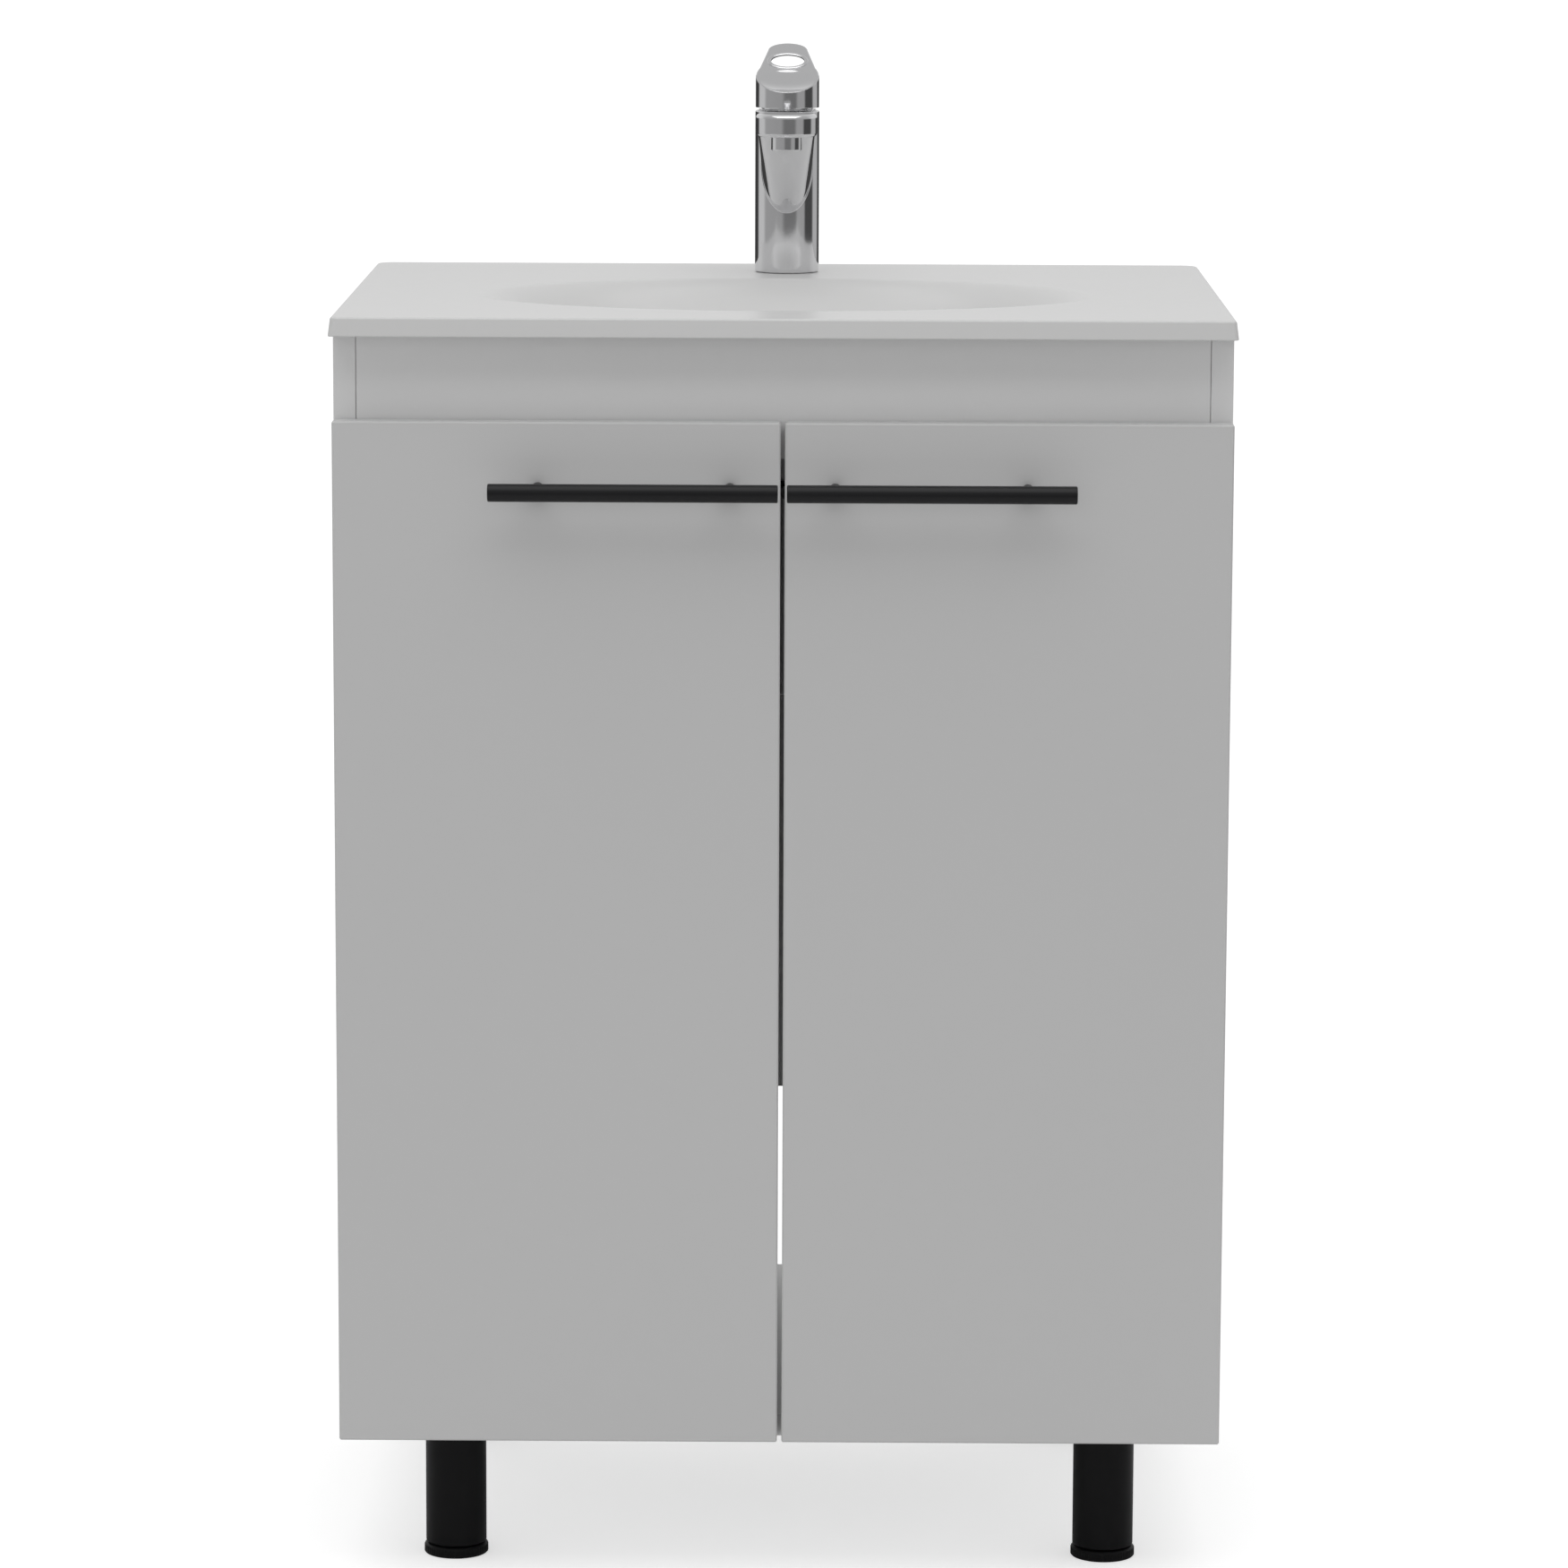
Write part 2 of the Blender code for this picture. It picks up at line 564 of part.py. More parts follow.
def make_spout():
    """Horn-shaped spout, tall where it leaves the body and thin at its tip: a loft of ovals."""
    stations = (
        (0.004, 0.1145, 0.0400, 0.0184),
        (0.023, 0.1157, 0.0440, 0.0184),
        (0.040, 0.1163, 0.0560, 0.0186),
        (0.060, 0.1170, 0.0735, 0.0192),
        (0.078, 0.1176, 0.0900, 0.0200),
        (0.092, 0.1180, 0.1000, 0.0206),
        (SPOUT_REACH + SPOUT_OVERRUN, 0.1180, 0.1040, 0.0196),
    )
    bm = bmesh.new()
    rings = [spout_ring(bm, *station) for station in stations]
    for near, far in zip(rings, rings[1:]):
        for i, vertex in enumerate(near):
            j = (i + 1) % len(near)
            bm.faces.new((vertex, near[j], far[j], far[i]))
    bm.faces.new(rings[0])
    bm.faces.new(rings[-1])
    bmesh.ops.recalc_face_normals(bm, faces=bm.faces)
    return solid("spout_horn", bm)


def make_faucet_body(base):
    """Round column on the deck with the spout and its round tip in one casting."""
    top, rim = FAUCET_HEIGHT, COLUMN_RIM
    column = turned("faucet_body", [
        (0, top), (FAUCET_RADIUS - rim, top), (FAUCET_RADIUS, top - rim), (FAUCET_RADIUS, GAP), (0, GAP),
    ], steps=48)
    place(column, CHROME, base)
    combine(column, as_cutter(make_spout(), base), "UNION")
    low, high, soft = SPOUT_TIP_UNDER, SPOUT_TIP_OVER, SPOUT_TIP_ROUNDING
    tip = turned("spout_tip", [
        (0, high), (SPOUT_TIP_RADIUS - soft, high), (SPOUT_TIP_RADIUS - soft / 3, high - soft / 3),
        (SPOUT_TIP_RADIUS, high - soft), (SPOUT_TIP_RADIUS, low + soft),
        (SPOUT_TIP_RADIUS - soft / 3, low + soft / 3), (SPOUT_TIP_RADIUS - soft, low), (0, low),
    ])
    tip_at = Vector(base) - Vector((0, SPOUT_REACH, 0))
    combine(column, as_cutter(tip, tip_at), "UNION")
    socket = cylinder("aerator_socket", AERATOR_RADIUS + GAP, low - 0.030, low)
    combine(column, as_cutter(socket, tip_at))
    mouth = low - AERATOR_DROP
    aerator = turned("faucet_aerator", [
        (0, low - GAP), (AERATOR_RADIUS, low - GAP), (AERATOR_RADIUS, mouth + 0.0010), (0.0095, mouth),
        (0.0088, mouth), (0.0088, mouth + 0.0015), (0, mouth + 0.0015),
    ])
    place(aerator, CHROME, tip_at)


def make_faucet_fixings(base):
    """Threaded shank through the deck, rubber washer, nut and the two hose inlets."""
    bore = SHANK_RADIUS + GAP
    place(cylinder("faucet_shank", SHANK_RADIUS, -SHANK_LENGTH, 0), BRASS, base)
    washer_top = -TOP_THICKNESS - GAP
    washer_bottom = washer_top - WASHER_THICKNESS
    place(ring("faucet_washer", 0.027, bore, washer_bottom, washer_top), RUBBER, base)
    nut_top = washer_bottom - GAP
    nut = place(cylinder("faucet_nut", 0.025, nut_top - TAP_NUT_HEIGHT, nut_top, segments=6), BRASS, base)
    combine(nut, as_cutter(cylinder("faucet_nut_bore", bore, -0.060, 0.010), base))
    inlet_bottom = -SHANK_LENGTH - INLET_LENGTH
    for label, sign in (("hot", -1), ("cold", 1)):
        inlet = cylinder(f"faucet_inlet_{label}", INLET_RADIUS, inlet_bottom, -SHANK_LENGTH - GAP, segments=24)
        place(inlet, BRASS, (sign * INLET_FROM_AXIS, base[1], base[2]))


def make_lever(pivot, parent):
    """Lever cap: a round skirt cut off on a slope, and a flat tapered grip with a finger loop."""
    tall = 0.060
    lever = cylinder("faucet_handle", LEVER_RADIUS, LEVER_BOTTOM, tall, segments=48)
    place(lever, CHROME, pivot, parent)
    rise = math.tan(LEVER_SLOPE)
    half_root, half_tip = LEVER_RADIUS, 0.0120
    tip_start = LEVER_TIP_REACH - GRIP_TIP_RADIUS
    outline = [(-half_root, 0.0), (half_root, 0.0), (half_tip + 0.0025, tip_start)]
    for step in range(1, 12):
        angle = math.pi * step / 12
        outline.append((half_tip * 1.2 * math.cos(angle), tip_start + GRIP_TIP_RADIUS * math.sin(angle)))
    outline.append((-half_tip - 0.0025, tip_start))
    grip = as_cutter(prism("lever_grip", outline, 0.004, tall), pivot)
    combine(lever, grip, "UNION")
    slope = (LEVER_SLOPE, 0, 0)
    grip_under = box("below_grip", (-0.04, -0.06, -0.08), (0.04, 0.08, 0))
    as_cutter(grip_under, Vector(pivot) + Vector((0, 0, LEVER_HEIGHT_ON_AXIS - GRIP_THICKNESS)), slope)
    combine(grip, grip_under)
    above = box("above_slope", (-0.04, -0.06, 0), (0.04, 0.08, 0.06))
    as_cutter(above, Vector(pivot) + Vector((0, 0, LEVER_HEIGHT_ON_AXIS)), slope)
    combine(lever, above)
    relief = box("rear_relief", (-0.04, 0, -0.02), (0.04, 0.05, 0))
    as_cutter(relief, Vector(pivot) + Vector((0, 0, LEVER_BOTTOM - 0.0001)), (GRIP_REAR_RELIEF, 0, 0))
    combine(lever, relief)
    combine(lever, as_cutter(dome_operand("dome_hollow", LEVER_HOLLOW_RADIUS), pivot))
    dish = dome_operand("thumb_dish", DISH_RADIUS)
    dish_up = DISH_RADIUS - DISH_DEPTH
    normal = Vector((0, -math.sin(LEVER_SLOPE), math.cos(LEVER_SLOPE)))
    on_slope = Vector((0, -DISH_FROM_AXIS, LEVER_HEIGHT_ON_AXIS - DISH_FROM_AXIS * rise))
    dish_at = Vector(pivot) + on_slope + normal * dish_up
    combine(lever, as_cutter(dish, dish_at))
    half_x, half_y = LOOP_HALF_SIZE
    loop = prism("finger_loop", [(x * half_x, y * half_y) for x, y in circle(1, 32)], -0.05, 0.05)
    loop_at = Vector(pivot) + Vector(LOOP_AT)
    combine(lever, as_cutter(loop, loop_at, (math.radians(90) - LOOP_TILT, 0, 0)))


def dome_operand(name, radius):
    bm = bmesh.new()
    bmesh.ops.create_uvsphere(bm, u_segments=32, v_segments=16, radius=radius)
    return solid(name, bm)


def make_faucet():
    base = (0, FAUCET_Y, DECK_Z)
    pivot = (0, FAUCET_Y, PIVOT_Z)
    make_faucet_body(base)
    make_faucet_fixings(base)
    swivel = axis_empty("faucet_swivel_axis", pivot)
    dome = HEAD_RADIUS
    profile = [(0, dome)]
    for step in range(1, 6):
        angle = math.radians(90 - 16 * step)
        profile.append((dome * math.cos(angle), dome * math.sin(angle)))
    neck = HEAD_NECK_RADIUS
    profile += [(dome, HEAD_NECK_TOP), (neck, HEAD_NECK_TOP), (neck, GAP), (0, GAP)]
    place(turned("faucet_stem", profile), CHROME, pivot, swivel)
    lift = axis_empty("faucet_lift_axis", pivot)
    make_lever(pivot, lift)


make_carcass()
make_washtop()
make_drain()
make_legs()
for side_name, side_sign in SIDES.items():
    make_door(side_name, side_sign)
make_faucet()
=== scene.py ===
import json
import math

import bmesh
import bpy
from mathutils import Matrix, Vector

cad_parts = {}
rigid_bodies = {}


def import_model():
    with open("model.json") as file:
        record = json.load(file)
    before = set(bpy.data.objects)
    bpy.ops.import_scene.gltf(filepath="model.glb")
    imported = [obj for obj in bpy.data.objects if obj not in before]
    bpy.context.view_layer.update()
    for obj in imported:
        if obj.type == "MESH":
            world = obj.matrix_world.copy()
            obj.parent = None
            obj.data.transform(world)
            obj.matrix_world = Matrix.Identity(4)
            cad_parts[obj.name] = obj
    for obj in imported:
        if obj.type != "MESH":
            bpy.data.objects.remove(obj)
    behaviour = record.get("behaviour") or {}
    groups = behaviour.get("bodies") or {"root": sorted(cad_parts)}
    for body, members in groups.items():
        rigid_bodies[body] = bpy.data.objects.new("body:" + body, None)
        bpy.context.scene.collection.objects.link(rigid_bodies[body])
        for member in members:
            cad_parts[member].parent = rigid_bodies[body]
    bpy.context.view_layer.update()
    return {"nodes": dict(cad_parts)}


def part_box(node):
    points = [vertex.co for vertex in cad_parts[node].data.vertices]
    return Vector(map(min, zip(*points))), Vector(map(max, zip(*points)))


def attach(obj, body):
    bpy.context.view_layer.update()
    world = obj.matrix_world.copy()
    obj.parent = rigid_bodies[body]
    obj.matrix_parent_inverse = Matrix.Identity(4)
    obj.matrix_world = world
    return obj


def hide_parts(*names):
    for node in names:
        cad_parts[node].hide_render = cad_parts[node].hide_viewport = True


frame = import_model()

# ---------------------------------------------------------------------------
# Studio: a plain pale floor, a large overhead softbox and a low front fill. The
# sky is pale; panels and dark gaps below its horizon give polished metal its
# bands. The camera stands well back and a little above the washtop.
# ---------------------------------------------------------------------------
CAMERA_AT = Vector((0.0256, -4.3329, 1.2337))
CAMERA_HEADING = -0.0058
CAMERA_TILT = 0.1630
CAMERA_ROLL = 0.0039
CAMERA_LENS = 143.2
CAMERA_SENSOR = 36.0
FLOOR_SIZE = 5.0
FLOOR_DROP = 0.0002
FLOOR_TONE = (0.80, 0.80, 0.80, 1.0)
FLOOR_ROUGHNESS = 0.9
FLOOR_SHINE = 0.1
FLOOR_GLOW = 0.55
LAMPS = (  # name, place, aim, width, height, watts, mirrored in polished metal
    ("overhead", (0, -0.9, 3.1), (0, 0, 0.5), 3.2, 2.6, 30, True),
    ("front_fill", (-0.6, -4.6, 1.2), (0, 0, 0.5), 3.0, 2.6, 15, False),
)
FRONT_TONE = 0.42
HORIZON_TONE = 0.74
ZENITH_TONE = 0.54
FRONT_TO_BACK = (-0.1, 0.45)
HORIZON_BAND = (-0.05, 0.08)
ZENITH_BAND = (0.35, 0.85)
ROUND_TONES = (  # degrees round from the front, and the tone below the horizon there
    (-180, 0.05), (-132, 0.05), (-118, 0.62), (-96, 0.62), (-80, 0.38), (-22, 0.36), (-4, 0.19), (28, 0.19),
    (42, 0.38), (62, 0.38), (72, 0.07), (100, 0.07), (112, 0.50), (132, 0.50), (146, 0.06), (180, 0.05),
)
SEEN_SKY = 1.1


def make_camera():
    data = bpy.data.cameras.new("camera")
    data.lens = CAMERA_LENS
    data.sensor_width = CAMERA_SENSOR
    camera = bpy.data.objects.new("camera", data)
    bpy.context.scene.collection.objects.link(camera)
    flat = math.cos(CAMERA_TILT)
    ahead = Vector((math.sin(CAMERA_HEADING) * flat, math.cos(CAMERA_HEADING) * flat, -math.sin(CAMERA_TILT)))
    right = Vector((math.cos(CAMERA_HEADING), -math.sin(CAMERA_HEADING), 0))
    up = right.cross(ahead)
    roll_cos, roll_sin = math.cos(CAMERA_ROLL), math.sin(CAMERA_ROLL)
    rolled_right = roll_cos * right + roll_sin * up
    rolled_up = roll_cos * up - roll_sin * right
    turn = Matrix((rolled_right, rolled_up, -ahead)).transposed().to_4x4()
    camera.matrix_world = Matrix.Translation(CAMERA_AT) @ turn
    bpy.context.scene.camera = camera


def softbox(name, at, target, width, height, watts, mirrored):
    data = bpy.data.lights.new(name, "AREA")
    data.shape = "RECTANGLE"
    data.size = width
    data.size_y = height
    data.energy = watts
    lamp = bpy.data.objects.new(name, data)
    lamp.location = at
    lamp.rotation_euler = (Vector(target) - Vector(at)).to_track_quat("-Z", "Y").to_euler()
    lamp.visible_glossy = mirrored
    bpy.context.scene.collection.objects.link(lamp)


def make_floor():
    """Pale matt floor; a glow that only the camera sees lifts it to the backdrop's white."""
    bm = bmesh.new()
    bmesh.ops.create_grid(bm, x_segments=1, y_segments=1, size=FLOOR_SIZE / 2)
    mesh = bpy.data.meshes.new("floor")
    bm.to_mesh(mesh)
    bm.free()
    floor = bpy.data.objects.new("floor", mesh)
    floor.location = (0, 0, -FLOOR_DROP)
    bpy.context.scene.collection.objects.link(floor)
    material = bpy.data.materials.new("floor_pale")
    material.use_nodes = True
    tree = material.node_tree
    shader = tree.nodes["Principled BSDF"]
    shader.inputs["Base Color"].default_value = FLOOR_TONE
    shader.inputs["Roughness"].default_value = FLOOR_ROUGHNESS
    shader.inputs["Specular IOR Level"].default_value = FLOOR_SHINE
    shader.inputs["Emission Color"].default_value = (1, 1, 1, 1)
    path = tree.nodes.new("ShaderNodeLightPath")
    glow = combined(tree, "MULTIPLY", path.outputs["Is Camera Ray"], FLOOR_GLOW)
    tree.links.new(glow, shader.inputs["Emission Strength"])
    mesh.materials.append(material)


def ramp(tree, source, low, high, first, last):
    """Smooth change from one value to another as a source goes from low to high."""
    node = tree.nodes.new("ShaderNodeMapRange")
    node.interpolation_type = "SMOOTHSTEP"
    for name, value in (("From Min", low), ("From Max", high), ("To Min", first), ("To Max", last)):
        node.inputs[name].default_value = value
    tree.links.new(source, node.inputs["Value"])
    return node.outputs[0]


def combined(tree, operation, first, second):
    node = tree.nodes.new("ShaderNodeMath")
    node.operation = operation
    for value, socket in ((first, node.inputs[0]), (second, node.inputs[1])):
        if isinstance(value, bpy.types.NodeSocket):
            tree.links.new(value, socket)
        else:
            socket.default_value = value
    return node.outputs[0]


def blend(tree, share, first, second):
    """First value at no share, second at full share."""
    rest = combined(tree, "SUBTRACT", 1.0, share)
    return combined(tree, "ADD", combined(tree, "MULTIPLY", first, rest), combined(tree, "MULTIPLY", second, share))


def make_sky():
    """Pale sky, brightest low at the back; below the horizon a ring of pale panels and dark gaps."""
    world = bpy.data.worlds.new("studio_sky")
    bpy.context.scene.world = world
    world.use_nodes = True
    tree = world.node_tree
    nodes, links = tree.nodes, tree.links
    nodes.clear()
    place = nodes.new("ShaderNodeTexCoord")
    split = nodes.new("ShaderNodeSeparateXYZ")
    links.new(place.outputs["Generated"], split.inputs[0])
    turn = combined(tree, "ARCTAN2", split.outputs["X"], combined(tree, "MULTIPLY", split.outputs["Y"], -1.0))
    share = combined(tree, "ADD", combined(tree, "MULTIPLY", turn, 0.5 / math.pi), 0.5)
    panels = nodes.new("ShaderNodeValToRGB")
    panels.color_ramp.interpolation = "EASE"
    stops = panels.color_ramp.elements
    for degrees, _ in ROUND_TONES[1:-1]:
        stops.new(degrees / 360 + 0.5)
    for stop, (degrees, tone) in zip(stops, ROUND_TONES):
        stop.color = (tone, tone, tone, 1)
    links.new(share, panels.inputs["Fac"])
    above = ramp(tree, split.outputs["Y"], *FRONT_TO_BACK, FRONT_TONE, HORIZON_TONE)
    over_horizon = ramp(tree, split.outputs["Z"], *HORIZON_BAND, 0.0, 1.0)
    near_zenith = ramp(tree, split.outputs["Z"], *ZENITH_BAND, 0.0, 1.0)
    tone = blend(tree, near_zenith, blend(tree, over_horizon, panels.outputs["Color"], above), ZENITH_TONE)
    lit = nodes.new("ShaderNodeBackground")
    links.new(tone, lit.inputs["Color"])
    seen = nodes.new("ShaderNodeBackground")
    seen.inputs["Color"].default_value = (SEEN_SKY, SEEN_SKY, SEEN_SKY, 1)
    path = nodes.new("ShaderNodeLightPath")
    mix = nodes.new("ShaderNodeMixShader")
    links.new(path.outputs["Is Camera Ray"], mix.inputs["Fac"])
    links.new(lit.outputs[0], mix.inputs[1])
    links.new(seen.outputs[0], mix.inputs[2])
    out = nodes.new("ShaderNodeOutputWorld")
    links.new(mix.outputs[0], out.inputs["Surface"])


make_camera()
make_floor()
make_sky()
for lamp in LAMPS:
    softbox(*lamp)
bpy.context.scene.view_settings.view_transform = "Standard"

# ---------------------------------------------------------------------------
# Carcass boards: 15 mm particle board faced with white melamine, edges banded
# in the same white, joined with cams and dowels. The board's back edges are
# left raw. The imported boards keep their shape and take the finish.
# ---------------------------------------------------------------------------
BOARD_TONE = (0.79, 0.79, 0.79, 1.0)
BOARD_ROUGHNESS = 0.42
RAW_EDGE_TONES = ((0.30, 0.20, 0.11, 1.0), (0.62, 0.47, 0.30, 1.0))
CHIP_SCALE = 420.0
CHIP_STRETCH = (1.0, 1.0, 0.35)
FACES_THE_WALL = 0.9
WEAR_RADIUS = 0.0009
WEAR_BEND = (0.995, 0.86)
WEAR_PATCH_SCALE = 160.0
WEAR_PATCH_RANGE = (0.42, 0.62)


def new_group(name, sockets):
    """Shader group with its named sockets, its input node and its output node."""
    group = bpy.data.node_groups.new(name, "ShaderNodeTree")
    for label, way, kind, value in sockets:
        socket = group.interface.new_socket(name=label, in_out=way, socket_type=f"NodeSocket{kind}")
        if value is not None:
            socket.default_value = value
    return group, group.nodes.new("NodeGroupInput"), group.nodes.new("NodeGroupOutput")


def noise(tree, position, scale, detail):
    """Noise pattern; the scale is a socket or a number."""
    node = tree.nodes.new("ShaderNodeTexNoise")
    node.inputs["Detail"].default_value = detail
    tree.links.new(position, node.inputs["Vector"])
    if isinstance(scale, bpy.types.NodeSocket):
        tree.links.new(scale, node.inputs["Scale"])
    else:
        node.inputs["Scale"].default_value = scale
    return node.outputs["Fac"]


def stretched(tree, source, low, high):
    """Brings a range of values to the full range from none to one."""
    node = tree.nodes.new("ShaderNodeMapRange")
    node.inputs["From Min"].default_value = low
    node.inputs["From Max"].default_value = high
    tree.links.new(source, node.inputs["Value"])
    return node.outputs[0]


def variation_group():
    """Slight mottle of colour and gloss, with a fine surface texture as height."""
    group, given, result = new_group("surface_variation", (
        ("Position", "INPUT", "Vector", None), ("Tone", "INPUT", "Color", (0.8, 0.8, 0.8, 1)),
        ("Tone Spread", "INPUT", "Float", 0.03), ("Gloss", "INPUT", "Float", 0.4),
        ("Gloss Spread", "INPUT", "Float", 0.06), ("Patch Scale", "INPUT", "Float", 9.0),
        ("Grain Scale", "INPUT", "Float", 900.0), ("Color", "OUTPUT", "Color", None),
        ("Roughness", "OUTPUT", "Float", None), ("Height", "OUTPUT", "Float", None)))
    patches = noise(group, given.outputs["Position"], given.outputs["Patch Scale"], 4.0)
    grain = noise(group, given.outputs["Position"], given.outputs["Grain Scale"], 3.0)

    def spread(pattern, amount):
        return combined(group, "MULTIPLY", combined(group, "SUBTRACT", pattern, 0.5), given.outputs[amount])

    tint = group.nodes.new("ShaderNodeVectorMath")
    tint.operation = "SCALE"
    group.links.new(given.outputs["Tone"], tint.inputs[0])
    group.links.new(combined(group, "ADD", spread(patches, "Tone Spread"), 1.0), tint.inputs["Scale"])
    gloss = combined(group, "ADD", given.outputs["Gloss"], spread(patches, "Gloss Spread"))
    gloss = combined(group, "ADD", gloss, spread(grain, "Gloss Spread"))
    group.links.new(tint.outputs[0], result.inputs["Color"])
    group.links.new(gloss, result.inputs["Roughness"])
    group.links.new(grain, result.inputs["Height"])
    return group


def edge_wear_group():
    """Mask of the corners and edges, broken up so that only some of each edge is rubbed."""
    group, given, result = new_group("edge_wear", (
        ("Position", "INPUT", "Vector", None), ("Amount", "INPUT", "Float", 0.5), ("Mask", "OUTPUT", "Float", None)))
    rounded = group.nodes.new("ShaderNodeBevel")
    rounded.samples = 4
    rounded.inputs["Radius"].default_value = WEAR_RADIUS
    plain = group.nodes.new("ShaderNodeNewGeometry")
    bend = group.nodes.new("ShaderNodeVectorMath")
    bend.operation = "DOT_PRODUCT"
    group.links.new(rounded.outputs[0], bend.inputs[0])
    group.links.new(plain.outputs["Normal"], bend.inputs[1])
    edge = stretched(group, bend.outputs["Value"], *WEAR_BEND)
    patches = noise(group, given.outputs["Position"], WEAR_PATCH_SCALE, 5.0)
    rubbed = combined(group, "MULTIPLY", edge, stretched(group, patches, *WEAR_PATCH_RANGE))
    mask = combined(group, "MULTIPLY", rubbed, given.outputs["Amount"])
    mask.node.use_clamp = True
    group.links.new(mask, result.inputs["Mask"])
    return group


VARIATION = variation_group()
EDGE_WEAR = edge_wear_group()


def group_node(tree, group, position, **values):
    node = tree.nodes.new("ShaderNodeGroup")
    node.node_tree = group
    tree.links.new(position, node.inputs["Position"])
    for name, value in values.items():
        node.inputs[name.replace("_", " ")].default_value = value
    return node


def mixed(tree, factor, first, second):
    """Mix of two colours by a factor output; each colour is a socket or a fixed tone."""
    mix = tree.nodes.new("ShaderNodeMix")
    mix.data_type = "RGBA"
    tree.links.new(factor, mix.inputs["Factor"])
    for value, socket in ((first, mix.inputs[6]), (second, mix.inputs[7])):
        if isinstance(value, bpy.types.NodeSocket):
            tree.links.new(value, socket)
        else:
            socket.default_value = value
    return mix.outputs[2]


def finish(name, tone, gloss, metallic=0.0, bump=0.05, bump_depth=0.0001, wear=0.0, wear_tone=None, shine=0.5,
           **spread):
    """Material with mottled colour and gloss, fine surface texture and rubbed edges."""
    material = bpy.data.materials.new(name)
    material.use_nodes = True
    tree = material.node_tree
    shader = tree.nodes["Principled BSDF"]
    place = tree.nodes.new("ShaderNodeTexCoord").outputs["Object"]
    surface = group_node(tree, VARIATION, place, Tone=tone, Gloss=gloss, **spread)
    colour = surface.outputs["Color"]
    if wear:
        mask = group_node(tree, EDGE_WEAR, place, Amount=wear).outputs["Mask"]
        colour = mixed(tree, mask, colour, wear_tone)
    tree.links.new(colour, shader.inputs["Base Color"])
    tree.links.new(surface.outputs["Roughness"], shader.inputs["Roughness"])
    shader.inputs["Metallic"].default_value = metallic
    shader.inputs["Specular IOR Level"].default_value = shine
    relief = tree.nodes.new("ShaderNodeBump")
    relief.inputs["Strength"].default_value = bump
    relief.inputs["Distance"].default_value = bump_depth
    tree.links.new(surface.outputs["Height"], relief.inputs["Height"])
    tree.links.new(relief.outputs[0], shader.inputs["Normal"])
    return material


def repaint(material, *nodes):
    """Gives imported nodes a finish; their shape stays."""
    for node in nodes:
        slots = frame["nodes"][node].data.materials
        slots.clear()
        slots.append(material)


BOARD = finish("melamine_white", BOARD_TONE, BOARD_ROUGHNESS, bump=0.10, wear=0.35,
               wear_tone=(0.48, 0.46, 0.43, 1.0), Tone_Spread=0.02, Gloss_Spread=0.07, Grain_Scale=1400.0)


def show_raw_back_edges(material):
    """The unbanded edges that face the wall show pressed chips in brown and straw tones."""
    tree = material.node_tree
    shader = tree.nodes["Principled BSDF"]
    place = tree.nodes.new("ShaderNodeTexCoord")
    split = tree.nodes.new("ShaderNodeSeparateXYZ")
    tree.links.new(place.outputs["Normal"], split.inputs[0])
    facing = combined(tree, "GREATER_THAN", split.outputs["Y"], FACES_THE_WALL)
    chips = tree.nodes.new("ShaderNodeTexVoronoi")
    chips.inputs["Scale"].default_value = CHIP_SCALE
    stretch = tree.nodes.new("ShaderNodeMapping")
    stretch.inputs["Scale"].default_value = CHIP_STRETCH
    tree.links.new(place.outputs["Object"], stretch.inputs["Vector"])
    tree.links.new(stretch.outputs[0], chips.inputs["Vector"])
    brown = mixed(tree, chips.outputs["Distance"], *RAW_EDGE_TONES)
    white = shader.inputs["Base Color"].links[0].from_socket
    tree.links.new(mixed(tree, facing, white, brown), shader.inputs["Base Color"])


SIDE_BOARD = BOARD.copy()
SIDE_BOARD.name = "melamine_raw_back"
show_raw_back_edges(SIDE_BOARD)
repaint(BOARD, "front_rail", "back_panel")
repaint(SIDE_BOARD, "side_panel_left", "side_panel_right", "bottom_panel")

# ---------------------------------------------------------------------------
# Doors: slab fronts of fibreboard in a smooth off-white satin foil, with a
# small chamfer all round. Each hangs on two concealed hinges.
# ---------------------------------------------------------------------------
DOOR_TONE = (0.64, 0.64, 0.64, 1.0)
DOOR = finish("door_satin", DOOR_TONE, 0.36, bump=0.06, wear=0.25, wear_tone=(0.50, 0.49, 0.47, 1.0),
              Tone_Spread=0.015, Gloss_Spread=0.05, Patch_Scale=5.0, Grain_Scale=650.0)
repaint(DOOR, "door_left", "door_right")

# ---------------------------------------------------------------------------
# Washtop: one vitreous casting, a thin slab with eased edges and a shallow
# oval basin that rolls softly off the deck. It is glazed white all over, and
# sits on the carcass on a bead of sealant.
# ---------------------------------------------------------------------------
GLAZE_TONE = (0.70, 0.70, 0.697, 1.0)
TOP_LOW, TOP_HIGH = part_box("washtop")
DECK_Z = TOP_HIGH.z
SLAB_THICKNESS = 0.013
SLAB_DRAFT = 0.0016
FRONT_CORNER = 0.003
BACK_CORNER = 0.012
TOP_EASING = 0.0016
UNDER_EASING = 0.0008
STOPPER_LOW, STOPPER_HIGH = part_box("drain_stopper")
BASIN_CENTRE_Y = STOPPER_LOW.y / 2 + STOPPER_HIGH.y / 2
BASIN_HALF_WIDTH = 0.215
BASIN_SQUASH = 0.63
BASIN_DEPTH = 0.115
BASIN_FULLNESS = 1.8
BASIN_WALL = 0.011
DRAIN_SEAT_RADIUS = 0.033
DRAIN_SEAT_SINK = 0.0025
DRAIN_HOLE_RADIUS = 0.0212
TAP_HOLE_RADIUS = 0.0175
TAP_HOLE_STEPS = 48
OVAL_STEPS = 144
CORNER_STEPS = 8
EASING_STEPS = 4
BOWL_STEPS = 34
UNDERSIDE_STEPS = 18
